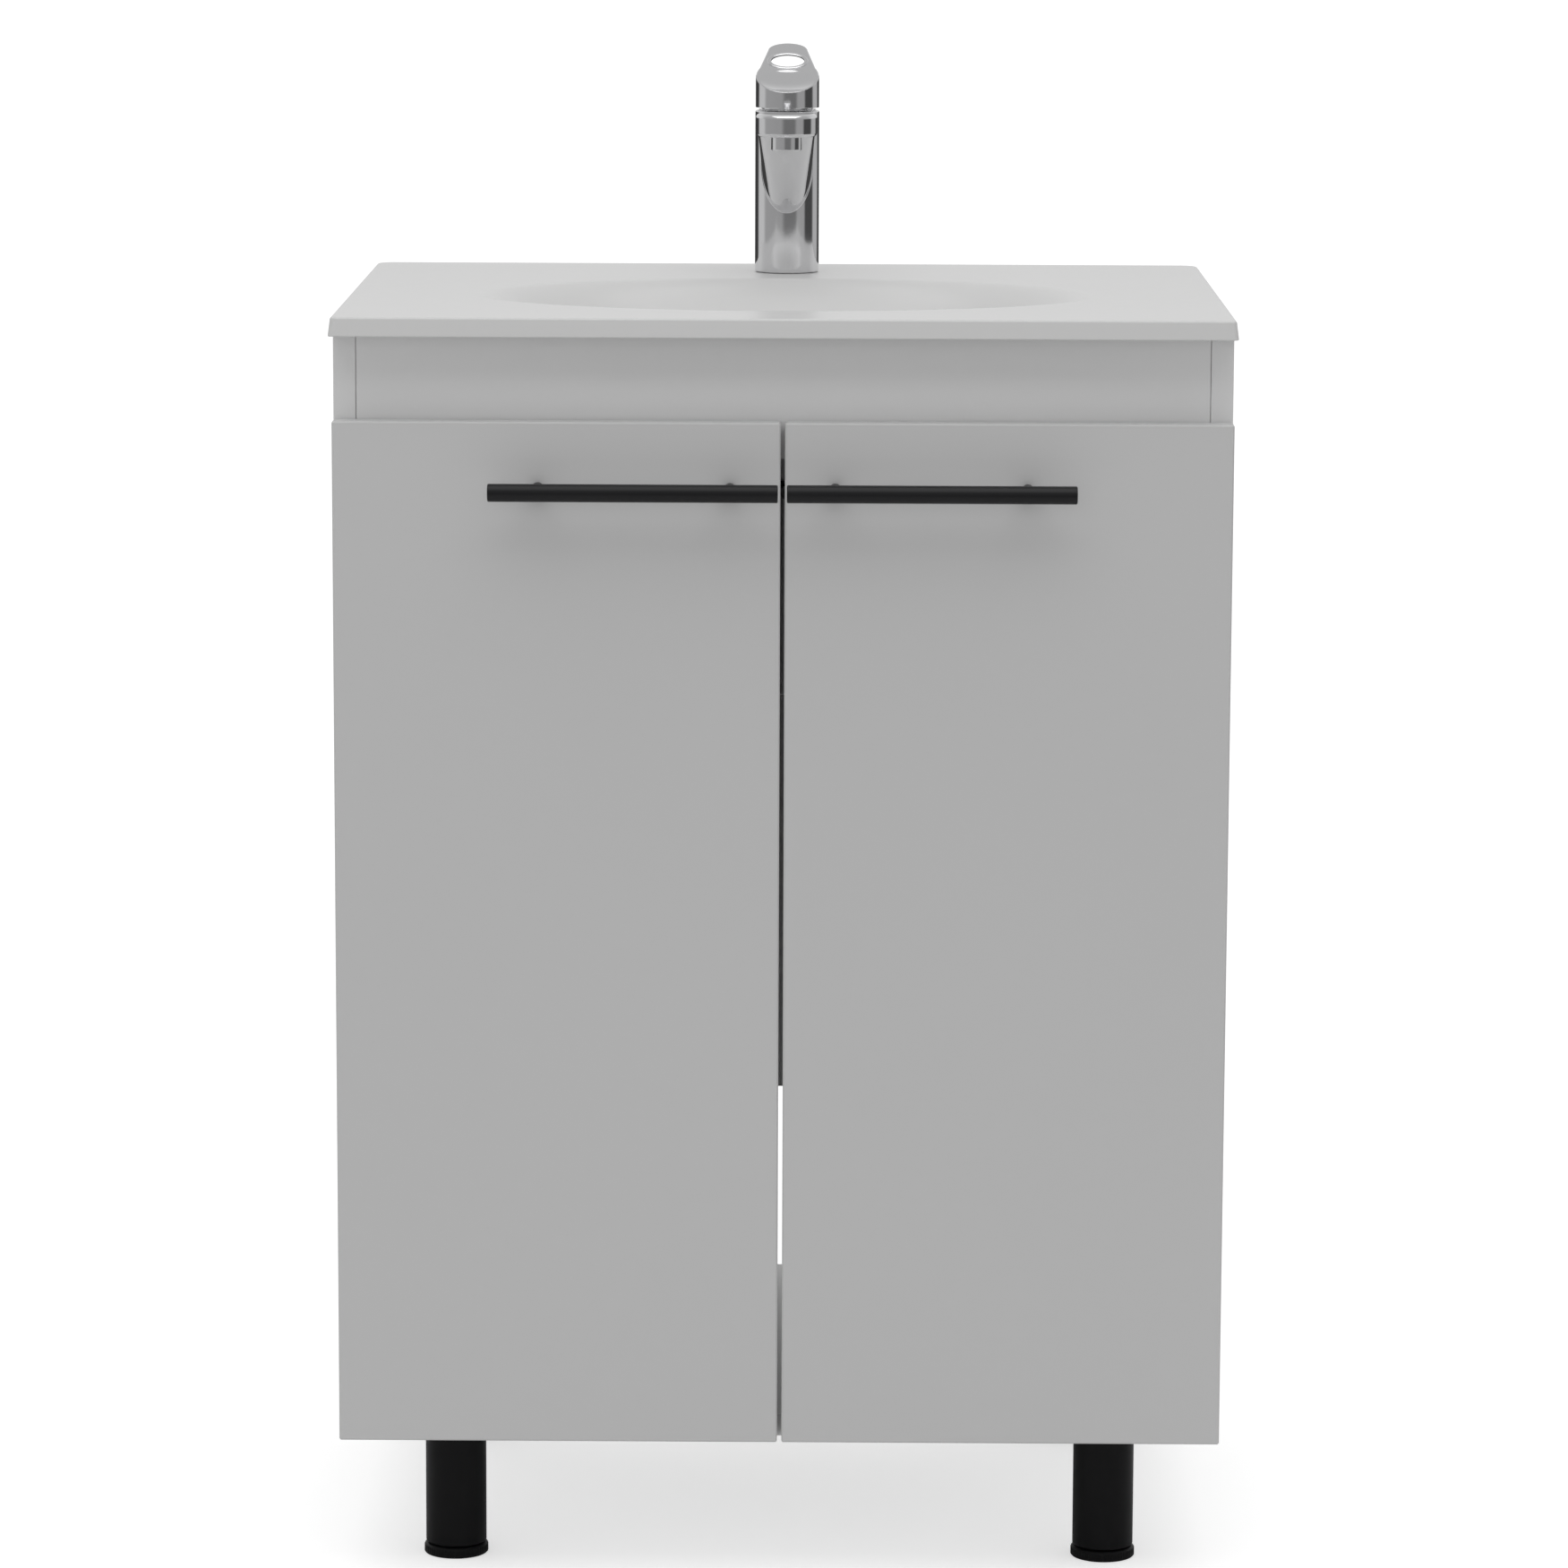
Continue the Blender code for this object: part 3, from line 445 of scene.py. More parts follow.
BOWL_FLOOR_REACH = 0.060        # inside this the rings turn from oval to round
UNDERSIDE_REACH = (0.955, 0.99)  # shares of the outer reach where the underside nears and meets the slab
UNDERSIDE_GAP = 0.0005
SEAT_LIP = 0.0012
SEAT_EDGE_DROP = 0.0008
GLAZE_COAT = 0.12
GLAZE_COAT_ROUGHNESS = 0.22
FAUCET_LOW, FAUCET_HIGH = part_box("faucet_stem")
FAUCET_Y = (FAUCET_LOW.y + FAUCET_HIGH.y) / 2


def piece(bm, name, body, material, replaces=(), sharp=35, weighted=True):
    """Turns a bmesh into a finished piece that rides on a body and stands for CAD nodes."""
    bmesh.ops.recalc_face_normals(bm, faces=bm.faces)
    mesh = bpy.data.meshes.new(name)
    bm.to_mesh(mesh)
    bm.free()
    mesh.shade_smooth()
    mesh.set_sharp_from_angle(angle=math.radians(sharp))
    mesh.materials.append(material)
    obj = bpy.data.objects.new(name, mesh)
    bpy.context.scene.collection.objects.link(obj)
    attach(obj, body)
    if replaces:
        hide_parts(*replaces)
    if weighted:
        normals = obj.modifiers.new("flat_faces_stay_flat", "WEIGHTED_NORMAL")
        normals.keep_sharp = True
    return obj


def wire_ring(bm, points):
    """Closed ring of edges through points."""
    verts = [bm.verts.new(p) for p in points]
    for i, vert in enumerate(verts):
        bm.edges.new((vert, verts[(i + 1) % len(verts)]))
    return verts


def ring_edges(bm, ring):
    return [bm.edges.get((vert, ring[(i + 1) % len(ring)])) for i, vert in enumerate(ring)]


def grow(bm, ring, points):
    """Extrudes a ring of vertices and sets the new ring on the given points."""
    made = bmesh.ops.extrude_edge_only(bm, edges=ring_edges(bm, ring))["geom"]
    fresh = {v for v in made if isinstance(v, bmesh.types.BMVert)}
    following = [next(e.other_vert(vert) for e in vert.link_edges if e.other_vert(vert) in fresh) for vert in ring]
    for vert, point in zip(following, points):
        vert.co = point
    return following


def turns(steps):
    """Angles of one full turn in equal steps."""
    return [2 * math.pi * i / steps for i in range(steps)]


def oval(half_width, half_depth, height):
    """Ring of points round the basin's centre; height is a number or a function of x and y."""
    points = []
    for angle in turns(OVAL_STEPS):
        x, y = half_width * math.cos(angle), half_depth * math.sin(angle)
        points.append((x, BASIN_CENTRE_Y + y, height(x, y) if callable(height) else height))
    return points


def bowl_height(x, y, half_width=BASIN_HALF_WIDTH, sink=0.0):
    """Height of the basin's surface, which rolls off the deck and flattens at its middle."""
    reach = min(1.0, math.hypot(x, y / BASIN_SQUASH) / half_width)
    return DECK_Z - BASIN_DEPTH * (1 + math.cos(math.pi * reach ** BASIN_FULLNESS)) / 2 - sink


def slab_outline(inset, z):
    """Slab's plan, eased corners included, drawn in by a small inset."""
    share = (DECK_Z - z) / SLAB_THICKNESS
    draft = SLAB_DRAFT * (1 - share)
    x, front, back = TOP_HIGH.x - inset - draft, TOP_LOW.y + inset + draft, TOP_HIGH.y - inset
    corners = ((x, front, FRONT_CORNER, -90), (x, back, BACK_CORNER, 0),
               (-x, back, BACK_CORNER, 90), (-x, front, FRONT_CORNER, 180))
    points = []
    for corner_x, corner_y, radius, start in corners:
        radius -= inset
        mid_x, mid_y = corner_x - math.copysign(radius, corner_x), corner_y - math.copysign(radius, corner_y)
        for step in range(CORNER_STEPS + 1):
            angle = math.radians(start + 90 / CORNER_STEPS * step)
            points.append((mid_x + radius * math.cos(angle), mid_y + radius * math.sin(angle), z))
    return points


def make_washtop():
    bm = bmesh.new()
    under_z = DECK_Z - SLAB_THICKNESS
    ring = deck_edge = wire_ring(bm, slab_outline(TOP_EASING, DECK_Z))
    for radius, centre_z, start, first in ((TOP_EASING, DECK_Z - TOP_EASING, 90, 1),
                                           (UNDER_EASING, under_z + UNDER_EASING, 0, 0)):
        for step in range(first, EASING_STEPS + 1):
            angle = math.radians(start - 90 / EASING_STEPS * step)
            inset = radius - radius * math.cos(angle)
            ring = grow(bm, ring, slab_outline(inset, centre_z + radius * math.sin(angle)))
    under_edge = ring

    ring = rim = wire_ring(bm, oval(BASIN_HALF_WIDTH, BASIN_HALF_WIDTH * BASIN_SQUASH, DECK_Z))
    for step in range(1, BOWL_STEPS + 1):
        reach = BASIN_HALF_WIDTH + (BOWL_FLOOR_REACH - BASIN_HALF_WIDTH) * step / BOWL_STEPS
        ring = grow(bm, ring, oval(reach, reach * BASIN_SQUASH, bowl_height))
    seat_z = DECK_Z - BASIN_DEPTH - DRAIN_SEAT_SINK
    floor_z = DECK_Z - BASIN_DEPTH - BASIN_WALL
    for radius, height in ((DRAIN_SEAT_RADIUS + SEAT_LIP, bowl_height),
                           (DRAIN_SEAT_RADIUS, lambda x, y: bowl_height(x, y) - SEAT_EDGE_DROP),
                           (DRAIN_SEAT_RADIUS, seat_z), (DRAIN_HOLE_RADIUS, seat_z),
                           (DRAIN_HOLE_RADIUS, floor_z), (DRAIN_SEAT_RADIUS, floor_z)):
        ring = grow(bm, ring, oval(radius, radius, height))

    outer = BASIN_HALF_WIDTH + BASIN_WALL
    near, meets = (outer * share for share in UNDERSIDE_REACH)

    def underside(x, y):
        return min(bowl_height(x, y, outer, BASIN_WALL), under_z - UNDERSIDE_GAP)

    for step in range(UNDERSIDE_STEPS + 1):
        reach = BOWL_FLOOR_REACH + (near - BOWL_FLOOR_REACH) * step / UNDERSIDE_STEPS
        ring = grow(bm, ring, oval(reach, reach * BASIN_SQUASH, underside))
    ring = grow(bm, ring, oval(meets, meets * BASIN_SQUASH, under_z))

    tap = [(TAP_HOLE_RADIUS * math.cos(a), FAUCET_Y + TAP_HOLE_RADIUS * math.sin(a)) for a in turns(TAP_HOLE_STEPS)]
    tap_top = wire_ring(bm, [(x, y, DECK_Z) for x, y in tap])
    tap_under = grow(bm, tap_top, [(x, y, under_z) for x, y in tap])
    for loops, up in (((deck_edge, rim, tap_top), 1), ((under_edge, ring, tap_under), -1)):
        edges = [edge for loop in loops for edge in ring_edges(bm, loop)]
        bmesh.ops.triangle_fill(bm, use_beauty=True, edges=edges, normal=(0, 0, up))
    glaze = finish("white_glaze", GLAZE_TONE, 0.30, bump=0.04, bump_depth=0.0003, wear=0.2,
                   wear_tone=(0.62, 0.62, 0.61, 1.0), Tone_Spread=0.01, Gloss_Spread=0.05, Patch_Scale=14.0,
                   Grain_Scale=120.0)
    shader = glaze.node_tree.nodes["Principled BSDF"]
    shader.inputs["Coat Weight"].default_value = GLAZE_COAT
    shader.inputs["Coat Roughness"].default_value = GLAZE_COAT_ROUGHNESS
    piece(bm, "washtop_casting", "carcass", glaze, ("washtop",))


make_washtop()

# ---------------------------------------------------------------------------
# Faucet body: a straight round column with a horn-shaped spout that ends in a
# round, thin tip with the aerator below. One polished chrome casting, clamped
# to the slab from below.
# ---------------------------------------------------------------------------
CHROME_TONE = (0.74, 0.74, 0.75, 1.0)
COLUMN_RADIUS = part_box("faucet_body")[1].x
COLUMN_HEIGHT = 0.116
COLUMN_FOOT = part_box("faucet_body")[0].z
AERATOR_LOW, AERATOR_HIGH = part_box("faucet_aerator")
TIP_Y = (AERATOR_LOW.y + AERATOR_HIGH.y) / 2
AERATOR_RADIUS = AERATOR_HIGH.x
TIP_RADIUS = 0.0217
TIP_UNDER = 0.1030
TIP_OVER = 0.1190
TIP_ROUNDING = 0.0030
FOOT_EASING = 0.0006
COLUMN_EASING = 0.001
FINE_STEPS = 96
SPOUT_SIDES = 72
SPOUT_GAP_STEPS = 5
AERATOR_PLAY = 0.0003
AERATOR_SEAT = 0.003
AERATOR_WALL = 0.0022
AERATOR_MOUTH_EASING = 0.0004
AERATOR_EASING = 0.0010
AERATOR_SIDE_START = 0.0009
AERATOR_STEPS = 64
SIEVE_BACK = 0.0014
SIEVE_MIDDLE = 0.0012
SIEVE_PITCH = 0.0015
SIEVE_WIRE = 0.0004
SIEVE_WIRE_HEIGHT = 0.0005
SIEVE_WIRES_EACH_SIDE = 5
CHROME_SOFTENING = 0.0008
SPOUT_STATIONS = (  # distance from the axis, top, underside, half width
    (0.004, 0.1145, 0.0400, 0.0184),
    (0.023, 0.1157, 0.0440, 0.0184),
    (0.040, 0.1163, 0.0560, 0.0186),
    (0.060, 0.1170, 0.0735, 0.0192),
    (0.078, 0.1176, 0.0900, 0.0200),
    (0.092, 0.1180, 0.1000, 0.0206),
    (0.104, 0.1180, 0.1040, 0.0196),
)
CHROME = finish("polished_chrome", CHROME_TONE, 0.07, metallic=1.0, bump=0.02, wear=0.5,
                wear_tone=(0.52, 0.52, 0.53, 1.0), Tone_Spread=0.02, Gloss_Spread=0.03, Patch_Scale=30.0,
                Grain_Scale=260.0)


def soften_edges(material, radius):
    """Rounds the look of every crease by a small radius."""
    tree = material.node_tree
    soft = tree.nodes.new("ShaderNodeBevel")
    soft.samples = 6
    soft.inputs["Radius"].default_value = radius
    tree.links.new(soft.outputs[0], tree.nodes["Bump"].inputs["Normal"])


soften_edges(CHROME, CHROME_SOFTENING)


def spun(bm, profile, at, steps, direction="Z"):
    """Profile of (radius, height) points spun once round an axis through a point."""
    known = set(bm.verts)
    verts = [bm.verts.new((radius, 0, height)) for radius, height in profile]
    edges = [bm.edges.new(pair) for pair in zip(verts, verts[1:])]
    bmesh.ops.spin(bm, geom=verts + edges, cent=(0, 0, 0), axis=(0, 0, 1), dvec=(0, 0, 0),
                   angle=2 * math.pi, steps=steps, use_merge=True)
    bmesh.ops.remove_doubles(bm, verts=[v for v in bm.verts if v not in known], dist=1e-6)
    degrees, about = {"Z": (0, "X"), "-Z": (180, "X"), "X": (90, "Y"), "-X": (-90, "Y"), "Y": (-90, "X"),
                      "-Y": (90, "X")}[direction]
    turn = Matrix.Rotation(math.radians(degrees), 4, about)
    bmesh.ops.transform(bm, verts=[v for v in bm.verts if v not in known], matrix=Matrix.Translation(at) @ turn)


def arc(centre_r, centre_z, radius, start, end, steps=5):
    """Points of a round in a profile, from one angle to another in degrees."""
    angles = [math.radians(start + (end - start) * i / steps) for i in range(steps + 1)]
    return [(centre_r + radius * math.cos(a), centre_z + radius * math.sin(a)) for a in angles]


def through(stations, steps):
    """Smooth curve through rows of numbers, with a few steps in each gap."""
    rows = [stations[0], *stations, stations[-1]]
    curve = []
    for a, b, c, d in zip(rows, rows[1:], rows[2:], rows[3:]):
        for step in range(steps):
            t = step / steps
            curve.append(tuple(
                q + t * ((r - p) / 2 + t * (p - 2.5 * q + 2 * r - s / 2 + t * (1.5 * (q - r) + (s - p) / 2)))
                for p, q, r, s in zip(a, b, c, d)))
    return [*curve, stations[-1]]


def make_faucet_body():
    bm = bmesh.new()
    at = Vector((0, FAUCET_Y, DECK_Z))
    foot = COLUMN_FOOT - DECK_Z
    spun(bm, [(0, foot), (COLUMN_RADIUS - FOOT_EASING, foot), (COLUMN_RADIUS, foot + FOOT_EASING),
              *arc(COLUMN_RADIUS - COLUMN_EASING, COLUMN_HEIGHT - COLUMN_EASING, COLUMN_EASING, 0, 90, 4),
              (0, COLUMN_HEIGHT)], at, FINE_STEPS)
    rings = []
    for distance, top, under, half_width in through(SPOUT_STATIONS, SPOUT_GAP_STEPS):
        middle, half = (top + under) / 2, (top - under) / 2
        rings.append([(half_width * math.cos(a), at.y - distance, at.z + middle + half * math.sin(a))
                      for a in turns(SPOUT_SIDES)])
    ring = wire_ring(bm, rings[0])
    bm.faces.new(ring)
    for points in rings[1:]:
        ring = grow(bm, ring, points)
    bm.faces.new(ring)
    bore, seat = AERATOR_RADIUS + AERATOR_PLAY, TIP_UNDER + AERATOR_SEAT
    rounding, centre_r = TIP_ROUNDING, TIP_RADIUS - TIP_ROUNDING
    spun(bm, [(0, seat), (bore, seat), (bore, TIP_UNDER),
              *arc(centre_r, TIP_UNDER + rounding, rounding, -90, 0, 7),
              *arc(centre_r, TIP_OVER - rounding, rounding, 0, 90, 7), (0, TIP_OVER)],
         Vector((0, TIP_Y, DECK_Z)), FINE_STEPS)
    piece(bm, "faucet_casting", "carcass", CHROME, ("faucet_body",))


def box_matrix(middle, size):
    return Matrix.Translation(middle) @ Matrix.Diagonal((*size, 1))


def make_aerator():
    """Short ring with a fine mesh across its mouth."""
    bm = bmesh.new()
    at = Vector((0, TIP_Y, AERATOR_LOW.z))
    tall = AERATOR_HIGH.z - AERATOR_LOW.z
    radius, mouth = AERATOR_RADIUS, AERATOR_RADIUS - AERATOR_WALL
    spun(bm, [(0, SIEVE_BACK), (mouth, SIEVE_BACK), (mouth, AERATOR_MOUTH_EASING), (mouth + AERATOR_MOUTH_EASING, 0),
              (radius - AERATOR_EASING, 0), (radius, AERATOR_SIDE_START), (radius, tall), (0, tall)],
         at, AERATOR_STEPS)
    for count in range(-SIEVE_WIRES_EACH_SIDE, SIEVE_WIRES_EACH_SIDE + 1):
        offset = count * SIEVE_PITCH
        length = 2 * (math.sqrt(max(0.0, mouth * mouth - offset * offset)) - SIEVE_WIRE / 2)
        for size, place in (((SIEVE_WIRE, length, SIEVE_WIRE_HEIGHT), (offset, 0, SIEVE_MIDDLE)),
                            ((length, SIEVE_WIRE, SIEVE_WIRE_HEIGHT), (0, offset, SIEVE_MIDDLE))):
            bmesh.ops.create_cube(bm, size=1.0, matrix=box_matrix(at + Vector(place), size))
    piece(bm, "faucet_aerator_mesh", "carcass", CHROME, ("faucet_aerator",))


make_faucet_body()
make_aerator()

# ---------------------------------------------------------------------------
# Lever: a chrome cap whose round skirt is cut off on a slope and runs on into
# a flat tapered grip with a finger loop and a shallow thumb dish. It rocks on
# the domed cartridge head, which turns under it.
# ---------------------------------------------------------------------------
PIVOT_Z = FAUCET_LOW.z - 0.0003
LEVER_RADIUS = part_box("faucet_handle")[1].x
LEVER_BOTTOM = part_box("faucet_handle")[0].z - PIVOT_Z
LEVER_SLOPE = math.radians(26.4)
LEVER_HEIGHT_ON_AXIS = 0.025
LEVER_TIP_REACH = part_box("faucet_handle")[1].y - FAUCET_Y
GRIP_THICKNESS = 0.0052
GRIP_HALF_TIP = 0.0145
REAR_RELIEF = math.radians(15.7)
HEAD_RADIUS = 0.0185
HOLLOW_RADIUS = 0.0190
DISH_RADIUS = 0.050
DISH_DEPTH = 0.0024
DISH_STRETCH = 1.28
DISH_FROM_AXIS = 0.007
LOOP_HALF_SIZE = (0.0120, 0.0051)
LOOP_AT = (0.0, 0.0187, 0.0343)
LOOP_TILT = math.radians(82)
LOOP_COLLAR = (0.0015, 0.0008)
COLLAR_STEPS = 96
COLLAR_SECTION_STEPS = 12
LEVER_EASING = 0.0005
LEVER_EASED_ANGLE = 28
GRIP_EDGE = 0.0015
TIP_DEPTH = 0.009
TIP_STEPS = 20
STOCK_HEIGHT = 0.060
GRIP_STOCK_FOOT = 0.004
UNDER_GRIP_CUT = ((-0.04, -0.06, -0.08), (0.04, 0.08, 0))
SLOPE_CUT = ((-0.04, -0.06, 0), (0.04, 0.08, 0.06))
REAR_CUT = ((-0.04, 0, -0.02), (0.04, 0.05, 0))
REAR_CUT_DROP = 0.0001
SKIRT_STEPS = 128
DISH_STEPS = 192
LOOP_STEPS = 64
LOOP_CUT_REACH = 0.05
MERGE_WITHIN = 2e-5
FLAT_WITHIN = 0.6
HEAD_FLANGE = (0.0009, 0.0030)
ON_TOP_LEAN, ON_SIDE_LEAN = 0.999, 0.6   # how far a face leans with the slope
LOOP_MARGIN = 0.0004
LOOP_REAR_REACH = 0.0100
REAR_TOLERANCE = 0.0005


def put_in_order(bm):
    """Sorts vertices, edges and faces by place, so that a cut comes out the same each time."""
    places = {vert: tuple(round(n, 7) for n in vert.co) for vert in bm.verts}
    for parts, place in ((bm.verts, places.get),
                         (bm.edges, lambda part: sorted(places[v] for v in part.verts)),
                         (bm.faces, lambda part: sorted(places[v] for v in part.verts))):
        ranks = {part: rank for rank, part in enumerate(sorted(parts, key=place))}
        parts.sort(key=ranks.get)


def operand(bm, at=(0, 0, 0), turn=0.0):
    """Throwaway solid for a cut, turned about X and then set in place."""
    bmesh.ops.recalc_face_normals(bm, faces=bm.faces)
    bmesh.ops.transform(bm, matrix=Matrix.Translation(at) @ Matrix.Rotation(turn, 4, "X"), verts=bm.verts)
    put_in_order(bm)
    mesh = bpy.data.meshes.new("operand")
    bm.to_mesh(mesh)
    bm.free()
    obj = bpy.data.objects.new("operand", mesh)
    bpy.context.scene.collection.objects.link(obj)
    return obj


def block(low, high):
    """Box between two corners."""
    bm = bmesh.new()
    low, high = Vector(low), Vector(high)
    bmesh.ops.create_cube(bm, size=1.0, matrix=box_matrix((low + high) / 2, high - low))
    return bm


def prism(outline, low, high):
    """Upright solid on an outline."""
    bm = bmesh.new()
    base = bm.faces.new([bm.verts.new((x, y, low)) for x, y in outline])
    top = bmesh.ops.extrude_face_region(bm, geom=[base])["geom"]
    bmesh.ops.translate(bm, verts=[v for v in top if isinstance(v, bmesh.types.BMVert)], vec=(0, 0, high - low))
    return bm


def cut(base, other, operation):
    change = base.modifiers.new("carve", "BOOLEAN")
    change.operation = operation
    change.solver = "EXACT"
    change.object = other


def discard(obj):
    mesh = obj.data
    bpy.data.objects.remove(obj, do_unlink=True)
    bpy.data.meshes.remove(mesh)


def carved(base, steps):
    """Result of a chain of booleans as a bmesh; every operand is removed."""
    for other, operation in steps:
        cut(base, other, operation)
    bpy.context.view_layer.update()
    result = bpy.data.meshes.new_from_object(base.evaluated_get(bpy.context.evaluated_depsgraph_get()))
    bm = bmesh.new()
    bm.from_mesh(result)
    bpy.data.meshes.remove(result)
    for spent in (base, *(other for other, _ in steps)):
        discard(spent)
    bmesh.ops.remove_doubles(bm, verts=bm.verts, dist=MERGE_WITHIN)
    bmesh.ops.dissolve_limit(bm, angle_limit=math.radians(FLAT_WITHIN), verts=bm.verts, edges=bm.edges)
    return bm


def ball(radius, segments=96):
    """Round solid at the origin."""
    bm = bmesh.new()
    bmesh.ops.create_uvsphere(bm, u_segments=segments, v_segments=segments // 2, radius=radius)
    return bm


def ellipse(half_x, half_y, steps):
    return [(half_x * math.cos(a), half_y * math.sin(a)) for a in turns(steps)]


def make_lever():
    pivot = Vector((0, FAUCET_Y, PIVOT_Z))
    tip_start = LEVER_TIP_REACH - TIP_DEPTH
    outline = [(-LEVER_RADIUS, 0.0), (LEVER_RADIUS, 0.0), (GRIP_HALF_TIP, tip_start)]
    outline += [(GRIP_HALF_TIP * math.cos(a), tip_start + TIP_DEPTH * math.sin(a))
                for a in (math.pi * step / TIP_STEPS for step in range(1, TIP_STEPS))]
    outline.append((-GRIP_HALF_TIP, tip_start))
    grip = operand(prism(outline, GRIP_STOCK_FOOT, STOCK_HEIGHT), pivot)
    above = pivot + Vector((0, 0, LEVER_HEIGHT_ON_AXIS))
    under_grip = operand(block(*UNDER_GRIP_CUT), above - Vector((0, 0, GRIP_THICKNESS)), LEVER_SLOPE)
    cut(grip, under_grip, "DIFFERENCE")
    skirt = operand(prism(ellipse(LEVER_RADIUS, LEVER_RADIUS, SKIRT_STEPS), LEVER_BOTTOM, STOCK_HEIGHT), pivot)
    normal = Vector((0, -math.sin(LEVER_SLOPE), math.cos(LEVER_SLOPE)))
    on_slope = above - DISH_FROM_AXIS * Vector((0, 1, math.tan(LEVER_SLOPE)))
    dish = ball(DISH_RADIUS, DISH_STEPS)
    bmesh.ops.scale(dish, vec=(DISH_STRETCH, 1, 1), verts=dish.verts)
    loop = prism(ellipse(*LOOP_HALF_SIZE, LOOP_STEPS), -LOOP_CUT_REACH, LOOP_CUT_REACH)
    rear_foot = pivot + Vector((0, 0, LEVER_BOTTOM - REAR_CUT_DROP))
    bm = carved(skirt, (
        (grip, "UNION"),
        (operand(block(*SLOPE_CUT), above, LEVER_SLOPE), "DIFFERENCE"),
        (operand(block(*REAR_CUT), rear_foot, REAR_RELIEF), "DIFFERENCE"),
        (operand(ball(HOLLOW_RADIUS), pivot), "DIFFERENCE"),
        (operand(dish, on_slope + normal * (DISH_RADIUS - DISH_DEPTH)), "DIFFERENCE"),
        (operand(loop, pivot + Vector(LOOP_AT), LOOP_TILT), "DIFFERENCE"),
    ))
    discard(under_grip)
    round_grip_edges(bm, pivot, normal)
    lever = piece(bm, "faucet_lever", "faucet_handle", CHROME, ("faucet_handle",), sharp=12)
    round_creases(lever, LEVER_EASING, 3, LEVER_EASED_ANGLE)


def round_creases(obj, width, segments, degrees):
    """Live rounding of every crease sharper than an angle."""
    rounding = obj.modifiers.new("rounding", "BEVEL")
    rounding.width = width
    rounding.segments = segments
    rounding.limit_method = "ANGLE"
    rounding.angle_limit = math.radians(degrees)
    rounding.harden_normals = True


def round_grip_edges(bm, pivot, normal):
    """Wide easing where the sloped top meets the grip's side walls."""
    bm.normal_update()
    rims = []
    lowest = pivot.z + LEVER_HEIGHT_ON_AXIS - GRIP_THICKNESS / 2
    for edge in bm.edges:
        ends = [vert.co for vert in edge.verts]
        if len(edge.link_faces) != 2 or min(end.y for end in ends) < pivot.y - REAR_TOLERANCE:
            continue
        if min(end.z for end in ends) < lowest:
            continue
        side_lean, top_lean = sorted(face.normal.dot(normal) for face in edge.link_faces)
        middle = (ends[0] + ends[1]) / 2
        in_loop = (abs(middle.x) < LOOP_HALF_SIZE[0] + LOOP_MARGIN
                   and middle.y < pivot.y + LOOP_AT[1] + LOOP_REAR_REACH)
        if top_lean > ON_TOP_LEAN and side_lean < ON_SIDE_LEAN and not in_loop:
            rims.append(edge)
    bmesh.ops.bevel(bm, geom=rims, offset=GRIP_EDGE, offset_type="OFFSET", segments=3, profile=0.5, affect="EDGES",
                    clamp_overlap=False, material=-1)


def make_loop_rim():
    """Low rounded collar round the mouth of the finger loop, set on the slope."""
    pivot = Vector((0, FAUCET_Y, PIVOT_Z))
    reach = LOOP_HALF_SIZE[1] / math.sin(LEVER_SLOPE + math.radians(90) - LOOP_TILT)
    wide, tall = LOOP_COLLAR
    place = Matrix.Translation(pivot + Vector(LOOP_AT)) @ Matrix.Rotation(LEVER_SLOPE, 4, "X")
    bm = bmesh.new()
    loops = []
    for angle in turns(COLLAR_SECTION_STEPS):
        out, up = wide + wide * math.cos(angle), tall * math.sin(angle)
        points = ellipse(LOOP_HALF_SIZE[0] + out, reach + out, COLLAR_STEPS)
        loops.append(wire_ring(bm, [place @ Vector((x, y, up)) for x, y in points]))
    for loop, following in zip(loops, [*loops[1:], loops[0]]):
        bmesh.ops.bridge_loops(bm, edges=[*ring_edges(bm, loop), *ring_edges(bm, following)])
    piece(bm, "faucet_loop_collar", "faucet_handle", CHROME, sharp=40)


def make_cartridge_head():
    bm = bmesh.new()
    neck = FAUCET_HIGH.x
    low = FAUCET_LOW.z - PIVOT_Z
    flange_foot, flange_top = HEAD_FLANGE
    spun(bm, [(0, low), (neck, low), (neck, flange_foot), (HEAD_RADIUS, flange_foot), (HEAD_RADIUS, flange_top),
              *arc(0, 0, HEAD_RADIUS, 10, 89, 14), (0, HEAD_RADIUS)], (0, FAUCET_Y, PIVOT_Z), FINE_STEPS)
    piece(bm, "faucet_cartridge_head", "faucet_stem", CHROME, ("faucet_stem",))


make_lever()
make_loop_rim()
make_cartridge_head()

# ---------------------------------------------------------------------------
# Faucet fixings under the slab: threaded brass shank, rubber washer, hexagon
# nut and two hose inlets. Only seen with the doors open or from below.
# ---------------------------------------------------------------------------
BRASS_TONE = (0.62, 0.47, 0.24, 1.0)
BRASS = finish("turned_brass", BRASS_TONE, 0.34, metallic=1.0, bump=0.12, wear=0.6,
               wear_tone=(0.80, 0.66, 0.40, 1.0), Tone_Spread=0.12, Gloss_Spread=0.14, Patch_Scale=70.0)
RUBBER = finish("black_rubber", (0.025, 0.025, 0.026, 1.0), 0.78, bump=0.25, wear=0.4,
                wear_tone=(0.07, 0.07, 0.07, 1.0), Tone_Spread=0.2, Gloss_Spread=0.1)
THREAD_PITCH = 0.0015
THREAD_DEPTH = 0.0005
THREAD_CREST, THREAD_ROOT = 0.45, 0.98   # shares of the pitch
THREAD_PLAY = 0.0003
THREAD_STEPS = 48
SEAL_STEPS = 64
HOSE_END_STEPS = 40
SEAL_EASING = 0.0006
NUT_EASING = 0.0008
NUT_BORE_STEPS = 48
HOSE_SOCKET_DEPTH = 0.004
